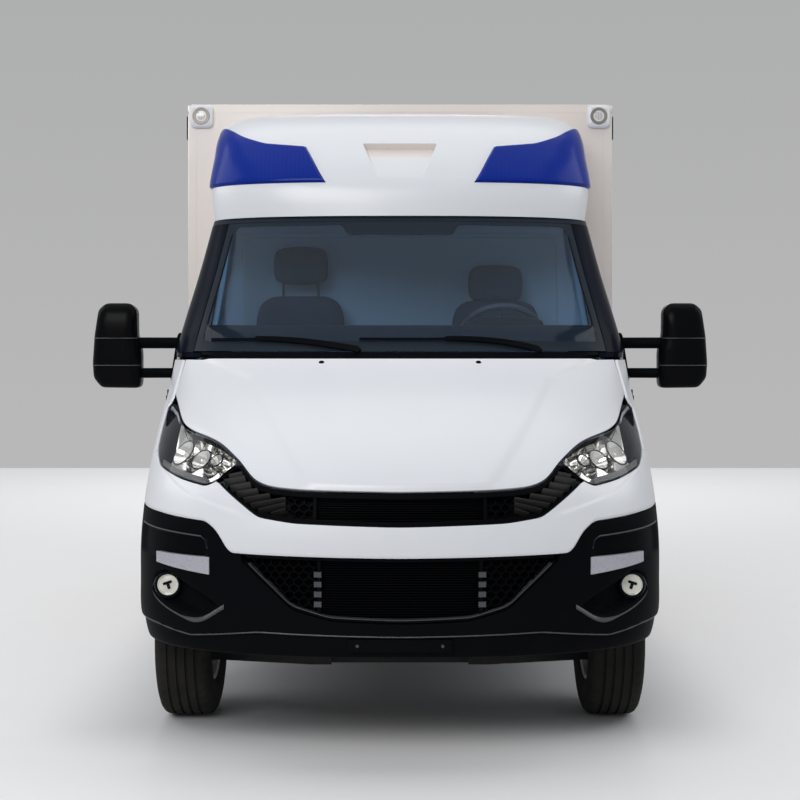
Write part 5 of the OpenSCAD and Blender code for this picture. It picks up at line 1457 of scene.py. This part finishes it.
def make_box_trim():
    """Box trim: seals round the panes, sill, roof and corner mouldings, handles, tread of the rear step."""
    wall = span("box_roof")[1][0]
    front, back = span("box_left_wall")[0][1], span("box_roof")[1][1]
    fixed = Shape()
    for side, start, end in ((1, 2770, 3670), (1, 4500, 5400), (-1, 4500, 5400)):
        frame_ring(fixed, rounded(end - start - 8, 552, 58), wall, facing_side(side, (start + end) / 2, 1930))
    for side in (-1, 1):
        sill_front = front + 50 if side > 0 else 3450.0
        for z, tall, start, lift in ((900.0, 26.0, sill_front, 4), (2610.0, 14.0, front + 76, 4),
                                     (2710.0, 36.0, front + 2, 5)):
            fixed.tube(slab(rounded(back - start, tall, 5), pillow(wall - 2, wall + lift, 3),
                            facing_side(side, (start + back) / 2, z)), 1)
        corner = facing_side(side, front + 18, 1562)
        fixed.tube(slab(rounded(32, 2240, 6), pillow(wall - 2, wall + 4, 3), corner), 1)
    tread = span("rear_bumper")[1][1] - 67
    fixed.tube(slab(rounded(1990, 122, 10), pillow(555, 563, 2), facing_up(0, tread)), 1)
    for x in np.linspace(-950, 950, 39):
        fixed.tube(slab(rounded(14, 96, 5, 3), pillow(562, 566.5, 2, 3), facing_up(x, tread)), 1)
    fixed.build("box_mouldings", looks("rubber", "alloy"), "chassis", "black_plastic", (), 0.0, 45)
    side = Shape()
    low, high = span("side_glass")
    middle, size = (low + high) / 2, high - low
    frame_ring(side, rounded(size[1] - 8, size[2] - 8, 55), wall, facing_side(-1, middle[1], middle[2]))
    box_handle(side, wall, facing_side(-1, 3350, 1440), (70, 190, 20), (26, 150, 12), 16, 6)
    side.build("side_door_trim", look("rubber"), "side_door", "black_plastic", (), 0.0, 45)
    for sign, name in ((1, "left"), (-1, "right")):
        shape = Shape()
        low, high = span("rear_glass_" + name)
        middle, size = (low + high) / 2, high - low
        frame_ring(shape, rounded(size[0] - 8, size[2] - 8, 55), DOOR_BACK, facing_front(middle[0], middle[2]))
        box_handle(shape, DOOR_BACK, facing_front(sign * 70, 1420), (60, 200, 18), (24, 160, 11), 18, 7)
        shape.build("rear_door_trim_" + name, look("rubber"), "rear_door_" + name, "black_plastic", (), 0.0, 45)


def make_body_lamps():
    """Box lamps: round corner lamps in square housings, side markers and stacked tail lamps."""
    shape = Shape()
    ahead = (0, 1, 0)
    for side in (-1, 1):
        centre = (side * 984, 2120, 2668)
        housing = [(30, 2118), (12, 2119), (4, 2123), (0, 2131), (0, 2150)]
        shape.tube(slab(rounded(112, 112, 26), housing, facing_front(centre[0], centre[2])), 0)
        lens = [(0.5, -3), (20, -2), (34, 1), (40, 4), (40, 12), (0.5, 12)]
        shape.tube(lathe(lens, centre, ahead, 48), 1)
        ring = lathe([(25, 0), (28, -3.5), (40, -4), (44, 0), (45, 8), (25, 8)], centre, ahead, 48)
        shape.sheet(np.concatenate([ring, ring[:1]]), 5, True)
        for y in (2205, 5524):
            shape.tube(slab(rounded(29, 118, 9), pillow(1049, 1066, 4), facing_side(side, y, 2620)), 2)
            shape.tube(slab(rounded(15, 44, 5), pillow(1060, 1066, 2), facing_side(side, y, 2620)), 3)
        shape.tube(slab(rounded(120, 220, 16), pillow(5815, 5838, 6), facing_front(side * 940, 695)), 2)
        for z, mark in ((762, 3), (695, 4), (628, 4)):
            shape.tube(slab(rounded(104, 58, 10), pillow(5828, 5852, 7), facing_front(side * 940, z)), mark)
    shape.build("body_lamp_set", looks("white", "white_lens", "gloss", "amber", "red", "bezel"),
                "chassis", "lamp", ("body_lamps",), 0.0, 45)


def tyre_section():
    """Half widths and radii round a tyre's section, from the inner bead over the tread to the outer bead."""
    grooves = []
    for at in (-54, -18, 18, 54):
        grooves += [(at - 5.5, 349.6), (at - 4.2, 342), (at + 4.2, 342), (at + 5.5, 349.6)]
    shoulder = [(-111, 268), (-112, 290), (-109, 312), (-103, 330), (-94, 341), (-84, 346.5), (-70, 349)]
    bead = [(-84, 206), (-96, 212), (-102, 226), (-107, 246)]
    left = bead + shoulder
    right = [(-w, r) for w, r in left[::-1]]
    return np.array(left + grooves + right, float)


def make_tyre(name, body, centre, side):
    """Tyre: its section turned about the axle, with cross cuts in the shoulders and the ribs."""
    turn = np.linspace(0, 2 * math.pi, 180, endpoint=False)
    section = tyre_section()
    at = np.linspace(0, len(section) - 1, 2 * len(section) - 1)
    wide, radius = (np.interp(at, np.arange(len(section)), column)[:, None] for column in section.T)
    cut = np.sin(turn * 45 + np.abs(wide) * 0.03) > 0.72
    shoulder = (np.abs(wide) > 60) & (np.abs(wide) < 106) & (radius > 322)
    rib = (np.abs(wide) > 24) & (np.abs(wide) < 48) & (radius > 346)
    radius = radius - sized("tread_cut") * ((cut & shoulder) + 0.6 * (cut & rib))
    inside = np.array([(84, 206), (60, 215), (0, 220), (-60, 215), (-84, 206)], float)
    wide = np.concatenate([wide[:, 0], inside[:, 0]])[:, None] + 0 * turn
    radius = np.concatenate([radius, inside[:, 1:] + 0 * turn])
    rings = np.stack([centre[0] + side * wide, centre[1] + radius * np.cos(turn),
                      centre[2] + radius * np.sin(turn)], -1)
    shape = Shape()
    shape.sheet(rings, 0, True)
    shape.build("tread_" + name, look("tyre"), body, "tyre", ("tyre_" + name,), 0.0, 40)


def make_rim(name, body, centre, side):
    """Pressed rim: a turned barrel, eight sectors from a hole to the sector's edge, hub and wheel nuts."""
    shape = Shape()
    axis = (side, 0, 0)
    barrel = [(203, -82), (207, -88), (211, -92), (207, -95), (196, -88), (188, -60), (182, -10), (182, 46),
              (190, 70), (198, 86), (207, 93), (211, 90), (207, 86), (203, 82), (196, 60), (191, 40),
              (191, -10), (197, -62)]
    rings = lathe(barrel, centre, axis, 96)
    shape.sheet(np.concatenate([rings, rings[:1]]), 0, True)
    part, outer, inner, reach = math.pi / 4, 186.0, 96.0, 142.0
    turns, radii = np.linspace(-part / 2, part / 2, 17), np.linspace(inner, outer, 9)
    radius = np.concatenate([np.full(16, outer), radii[:0:-1], np.full(16, inner), radii[:-1]])
    turn = np.concatenate([turns[:-1], np.full(8, part / 2), turns[:0:-1], np.full(8, -part / 2)])
    flat = np.stack([radius * np.cos(turn), radius * np.sin(turn)], -1)
    way = np.arctan2(flat[:, 1], flat[:, 0] - reach)
    hole = np.stack([reach + 17 * np.cos(way), 21 * np.sin(way)], -1)
    x, y = np.moveaxis(loop_between(hole, flat, 8), -1, 0)
    far = np.hypot(x, y)
    bulge = 62 - 34 * ease((far - 128) / 60) - 26 * ease((126 - far) / 26)
    bulge = bulge + 6 * np.exp(-((far - reach) / 22) ** 2)
    out = side * (bulge - 4 * np.exp(-(np.hypot(x - reach, y) - 19) / 5))
    for k in range(8):
        c, s = math.cos(part * k), math.sin(part * k)
        face = np.stack([centre[0] + out, centre[1] + x * c - y * s, centre[2] + x * s + y * c], -1)
        shape.shell(face, face - np.array((side * 7.0, 0, 0)), 0, True)
    hub = [(0.5, 76), (30, 75), (44, 70), (50, 60), (52, 36), (100, 36), (100, 28), (0.5, 28)]
    shape.tube(lathe(hub, centre, axis, 64), 0)
    for t in np.arange(6) * math.pi / 3:
        spot = centre + 74 * np.array((0, math.cos(t), math.sin(t)))
        shape.tube(lathe([(0.5, 52), (8, 51), (11, 48), (11, 34), (0.5, 34)], spot, axis, 6), 1)
    shape.build("disc_" + name, looks("rim", "steel"), body, "rim_paint", ("rim_" + name,), 0.0, 40)


def make_wheels():
    """Four wheels at the places of the tyres in the frame."""
    for end in ("front", "rear"):
        for hand, side in (("left", 1), ("right", -1)):
            name = end + "_" + hand
            centre = sum(span("tyre_" + name)) / 2
            make_tyre(name, "wheel_" + name, centre, side)
            make_rim(name, "wheel_" + name, centre, side)


def floor_finish(stage):
    """Floor finish: pale, with light that the camera alone sees painted in: none round the van, which leaves a
    painted shadow there, and more towards the back as painted light.
    """
    ground = finish("studio floor", tuple(stage.floor_colour), 0.6, (60.0, 0.05), None, 0.03)
    tree = Tree(ground.node_tree)
    shader = ground.node_tree.nodes["Principled BSDF"]
    spot = tree.add("ShaderNodeSeparateXYZ", {"Vector": tree.place()}).outputs
    past = []
    for name, middle, half in (("X", 0.0, 0.95), ("Y", 0.3, CAD_BOX[1].y - 0.55)):
        far = tree.maths("ABSOLUTE", tree.maths("SUBTRACT", spot[name], middle))
        past.append(tree.maths("MAXIMUM", tree.maths("SUBTRACT", far, half), 0.0))
    both = tree.add("ShaderNodeCombineXYZ", {0: past[0], 1: past[1]})
    away = tree.add("ShaderNodeVectorMath", {0: both.outputs[0]}, operation="LENGTH").outputs["Value"]
    # Painted shadow: no lift within 0.6 m of the van's footprint, so the floor stays darker round the van
    clear = tree.ranged(away, 0.0, stage.floor_lift, 0.0, 0.6, interpolation_type="SMOOTHSTEP")
    # Painted light: the lift grows from 0.85 to 1.8 times towards the back of the floor
    painted_light_to_back = tree.ranged(spot["Y"], 0.85, 1.8, -1.0, 9.0, interpolation_type="SMOOTHSTEP")
    seen = tree.add("ShaderNodeLightPath").outputs["Is Camera Ray"]
    lift = tree.maths("MULTIPLY", seen, tree.maths("MULTIPLY", clear, painted_light_to_back))
    shader.inputs["Emission Color"].default_value = (1, 1, 1, 1)
    tree.join(lift, shader.inputs["Emission Strength"])
    return ground


def studio_world(strength):
    """Surroundings: a grey that the camera and mirrors see, and an even pale light for the rest."""
    world = bpy.data.worlds.new("studio")
    world.use_nodes = True
    world.node_tree.nodes.clear()
    tree = Tree(world.node_tree)
    place = tree.add("ShaderNodeTexCoord").outputs["Generated"]
    height = tree.add("ShaderNodeSeparateXYZ", {"Vector": place}).outputs["Z"]
    tint = tree.add("ShaderNodeMix", {"Factor": tree.ranged(height, 0.0, 1.0, -0.05, 0.35)}, data_type="RGBA")
    tint.inputs[6].default_value = (0.48, 0.48, 0.48, 1)
    tint.inputs[7].default_value = (0.40, 0.405, 0.405, 1)
    seen = tree.add("ShaderNodeBackground", {"Color": tint.outputs[2], "Strength": 1.0})
    soft = tree.add("ShaderNodeBackground", {"Color": (0.93, 0.96, 1.0, 1), "Strength": strength})
    path = tree.add("ShaderNodeLightPath").outputs
    shown = tree.maths("MAXIMUM", path["Is Camera Ray"], path["Is Glossy Ray"])
    shown = tree.maths("MAXIMUM", shown, path["Is Transmission Ray"])
    both = tree.add("ShaderNodeMixShader", {0: shown, 1: soft.outputs[0], 2: seen.outputs[0]})
    tree.join(both.outputs[0], tree.add("ShaderNodeOutputWorld").inputs["Surface"])
    return world


def area_light(name, place, aim, size, power):
    """Soft square light aimed at a point."""
    lamp = bpy.data.lights.new(name, "AREA")
    lamp.shape, lamp.size, lamp.size_y, lamp.energy = "RECTANGLE", size[0], size[1], power
    made = bpy.data.objects.new(name, lamp)
    bpy.context.scene.collection.objects.link(made)
    made.location = place
    way = np.asarray(aim, float) - np.asarray(place, float)
    made.rotation_euler = (math.acos(-way[2] / np.linalg.norm(way)), 0,
                           math.atan2(way[1], way[0]) - math.pi / 2)
    return made


def make_stage():
    """Pale floor, soft lights, even surroundings and the camera in front of the van."""
    stage = bpy.context.scene.van_stage
    scene = bpy.context.scene
    mesh = bpy.data.meshes.new("studio_floor")
    back, wide = stage.floor_back, stage.floor_half
    mesh.from_pydata([(-wide, -16, 0), (wide, -16, 0), (wide, back, 0), (-wide, back, 0)], [], [(0, 1, 2, 3)])
    mesh.materials.append(floor_finish(stage))
    floor = bpy.data.objects.new("studio_floor", mesh)
    scene.collection.objects.link(floor)
    lens = bpy.data.cameras.new("front_camera")
    lens.lens, lens.sensor_width, lens.shift_y = stage.lens, 36.0, -0.06
    camera = bpy.data.objects.new("front_camera", lens)
    camera.location = (0, NOSE - stage.camera_distance, stage.camera_height)
    camera.rotation_euler = (math.pi / 2, 0, 0)
    scene.collection.objects.link(camera)
    scene.camera = camera
    lights = [
        area_light("front_light", (-2.6, NOSE - 6.5, 5.2), (0, NOSE, 1.2), (5.0, 3.0), stage.light * 1.35),
        area_light("right_light", (6.5, -1.0, 5.0), (0, 0, 1.0), (5.0, 4.0), stage.light * 0.5),
        area_light("left_light", (-6.5, -0.5, 5.0), (0, 0, 1.0), (5.0, 4.0), stage.light * 0.5),
        area_light("top_light", (0, -1.5, 7.5), (0, -1.5, 0), (7.0, 9.0), stage.light * 0.75),
        area_light("rear_light", (0, 9.0, 5.0), (0, 2.0, 1.2), (6.0, 3.0), stage.light * 0.6),
    ]
    scene.world = studio_world(stage.surroundings)
    scene.view_settings.view_transform = "Standard"


# Panel values
class VanSizes(bpy.types.PropertyGroup):
    """Sizes of the soft forms and of the relief on the panels"""
    scoop_depth: FloatProperty(name="Scoop depth", description="Depth of the hollows round the fog lamps",
                               unit="LENGTH", default=0.05)
    band_crease: FloatProperty(name="Band crease", description="Step of the crease beside the headlamps",
                               unit="LENGTH", default=0.007)
    recess_depth: FloatProperty(name="Recess depth", description="Depth of the fairing's recess",
                                unit="LENGTH", default=0.03)
    lens_swell: FloatProperty(name="Lens swell", description="How far the warning lenses stand out",
                              unit="LENGTH", default=0.0135)
    tread_cut: FloatProperty(name="Tread cut", description="Depth of the cross cuts in the tyres",
                             unit="LENGTH", default=0.005)
    seat_swell: FloatProperty(name="Seat swell", description="How far the seat pads may swell",
                              unit="LENGTH", default=0.014)


class VanColours(bpy.types.PropertyGroup):
    """Colours of the van's finishes"""
    white_paint: FloatVectorProperty(name="Cab paint", description="Colour of the cab's panels",
                                     subtype="COLOR", size=3, min=0, max=1, default=(0.74, 0.755, 0.79))
    box_paint: FloatVectorProperty(name="Box paint", description="Colour of the box's walls and doors",
                                   subtype="COLOR", size=3, min=0, max=1, default=(0.77, 0.70, 0.655))
    plastic: FloatVectorProperty(name="Plastic", description="Colour of bare mouldings",
                                 subtype="COLOR", size=3, min=0, max=1, default=(0.003, 0.0034, 0.0044))
    beacon: FloatVectorProperty(name="Warning lens", description="Colour of the roof lenses",
                                subtype="COLOR", size=3, min=0, max=1, default=(0.005, 0.025, 0.265))
    glass: FloatVectorProperty(name="Glass", description="Tint of the cab's glass",
                               subtype="COLOR", size=3, min=0, max=1, default=(0.5, 0.64, 0.77))
    cabin_trim: FloatVectorProperty(name="Cabin trim", description="Colour of the dashboard",
                                    subtype="COLOR", size=3, min=0, max=1, default=(0.042, 0.052, 0.062))
    seat_cloth: FloatVectorProperty(name="Seat cloth", description="Colour of the seats",
                                    subtype="COLOR", size=3, min=0, max=1, default=(0.05, 0.083, 0.12))


class VanStage(bpy.types.PropertyGroup):
    """Camera, floor and light"""
    camera_distance: FloatProperty(name="Camera distance", description="From the nose to the camera",
                                   unit="LENGTH", default=5.05)
    camera_height: FloatProperty(name="Camera height", description="Height of the camera",
                                 unit="LENGTH", default=1.5)
    lens: FloatProperty(name="Lens", description="Focal length", unit="CAMERA", default=65.2)
    floor_back: FloatProperty(name="Floor back", description="Where the floor ends behind the van",
                              unit="LENGTH", default=10.7)
    floor_half: FloatProperty(name="Floor half width", description="Half the floor's width",
                              unit="LENGTH", default=14.0)
    light: FloatProperty(name="Light", description="Power of the largest light", unit="POWER", default=215.0)
    surroundings: FloatProperty(name="Surroundings", description="Strength of the even light", default=0.37)
    floor_lift: FloatProperty(name="Floor lift", description="Light that the camera alone sees on the floor",
                              default=0.2)
    floor_colour: FloatVectorProperty(name="Floor", description="Colour of the floor",
                                      subtype="COLOR", size=3, min=0, max=1, default=(0.72, 0.72, 0.725))


class VAN_OT_finishes(bpy.types.Operator):
    """Finishes of the solids that stay in view"""
    bl_idname = "van.finishes"
    bl_label = "Solid finishes"

    def execute(self, context):
        dress_solids()
        return {"FINISHED"}


class VAN_OT_bonnet(bpy.types.Operator):
    """Bonnet with its hinge arms"""
    bl_idname = "van.bonnet"
    bl_label = "Bonnet"

    def execute(self, context):
        make_bonnet()
        return {"FINISHED"}


class VAN_OT_bumper(bpy.types.Operator):
    """Body-colour band and black lower bumper"""
    bl_idname = "van.bumper"
    bl_label = "Bumper"

    def execute(self, context):
        make_band()
        make_lower_bumper()
        return {"FINISHED"}


class VAN_OT_grilles(bpy.types.Operator):
    """Upper and lower grille"""
    bl_idname = "van.grilles"
    bl_label = "Grilles"

    def execute(self, context):
        make_grilles()
        return {"FINISHED"}


class VAN_OT_headlamps(bpy.types.Operator):
    """Headlamps, fog lamps and reflector strips"""
    bl_idname = "van.headlamps"
    bl_label = "Front lamps"

    def execute(self, context):
        make_headlamps()
        make_fog_lamps()
        return {"FINISHED"}


class VAN_OT_wings(bpy.types.Operator):
    """Front wings"""
    bl_idname = "van.wings"
    bl_label = "Wings"

    def execute(self, context):
        make_wings()
        return {"FINISHED"}


class VAN_OT_screen(bpy.types.Operator):
    """Windscreen, pillar covers and wipers"""
    bl_idname = "van.screen"
    bl_label = "Windscreen"

    def execute(self, context):
        make_screen()
        make_wipers()
        return {"FINISHED"}


class VAN_OT_fairing(bpy.types.Operator):
    """Roof fairing and its warning lenses"""
    bl_idname = "van.fairing"
    bl_label = "Roof fairing"

    def execute(self, context):
        make_fairing()
        make_beacons()
        return {"FINISHED"}


class VAN_OT_doors(bpy.types.Operator):
    """Cab doors with seals and handles"""
    bl_idname = "van.doors"
    bl_label = "Cab doors"

    def execute(self, context):
        make_doors()
        return {"FINISHED"}


class VAN_OT_mirrors(bpy.types.Operator):
    """Door mirrors"""
    bl_idname = "van.mirrors"
    bl_label = "Mirrors"

    def execute(self, context):
        make_mirrors()
        return {"FINISHED"}


class VAN_OT_cabin(bpy.types.Operator):
    """Dashboard, steering wheel and seats"""
    bl_idname = "van.cabin"
    bl_label = "Cabin"

    def execute(self, context):
        make_dashboard()
        make_steering()
        make_seats()
        return {"FINISHED"}


class VAN_OT_box(bpy.types.Operator):
    """Seals, mouldings, handles and lamps of the box"""
    bl_idname = "van.box"
    bl_label = "Box trim"

    def execute(self, context):
        make_box_trim()
        make_body_lamps()
        return {"FINISHED"}


class VAN_OT_wheels(bpy.types.Operator):
    """Tyres and rims"""
    bl_idname = "van.wheels"
    bl_label = "Wheels"

    def execute(self, context):
        make_wheels()
        return {"FINISHED"}


class VAN_OT_stage(bpy.types.Operator):
    """Floor, lights, surroundings and camera"""
    bl_idname = "van.stage"
    bl_label = "Stage"

    def execute(self, context):
        make_stage()
        return {"FINISHED"}


STEPS = (VAN_OT_finishes, VAN_OT_bonnet, VAN_OT_bumper, VAN_OT_grilles, VAN_OT_headlamps, VAN_OT_wings,
         VAN_OT_screen, VAN_OT_fairing, VAN_OT_doors, VAN_OT_mirrors, VAN_OT_cabin, VAN_OT_box, VAN_OT_wheels,
         VAN_OT_stage)


class VAN_PT_panel(bpy.types.Panel):
    """Lists the steps and the values they use"""
    bl_idname = "VAN_PT_panel"
    bl_label = "Van"
    bl_space_type = "VIEW_3D"
    bl_region_type = "UI"
    bl_category = "Van"

    def draw(self, context):
        column = self.layout.column()
        for step in STEPS:
            column.operator(step.bl_idname)
        for group in (context.scene.van_sizes, context.scene.van_colours, context.scene.van_stage):
            for key in group.__annotations__:
                column.prop(group, key)


CLASSES = (VanSizes, VanColours, VanStage) + STEPS + (VAN_PT_panel,)


def register():
    """Registers the classes and hangs the panel's values on the scene."""
    for made in CLASSES:
        bpy.utils.register_class(made)
    bpy.types.Scene.van_sizes = PointerProperty(type=VanSizes)
    bpy.types.Scene.van_colours = PointerProperty(type=VanColours)
    bpy.types.Scene.van_stage = PointerProperty(type=VanStage)


def unregister():
    """Takes the panel's values and the classes away again."""
    del bpy.types.Scene.van_stage
    del bpy.types.Scene.van_colours
    del bpy.types.Scene.van_sizes
    for made in reversed(CLASSES):
        bpy.utils.unregister_class(made)


def main():
    """Builds every piece and the stage."""
    register()
    for step in (bpy.ops.van.finishes, bpy.ops.van.bonnet, bpy.ops.van.bumper, bpy.ops.van.grilles,
                 bpy.ops.van.headlamps, bpy.ops.van.wings, bpy.ops.van.screen, bpy.ops.van.fairing,
                 bpy.ops.van.doors, bpy.ops.van.mirrors, bpy.ops.van.cabin, bpy.ops.van.box,
                 bpy.ops.van.wheels, bpy.ops.van.stage):
        step()


if __name__ == "__main__":
    main()
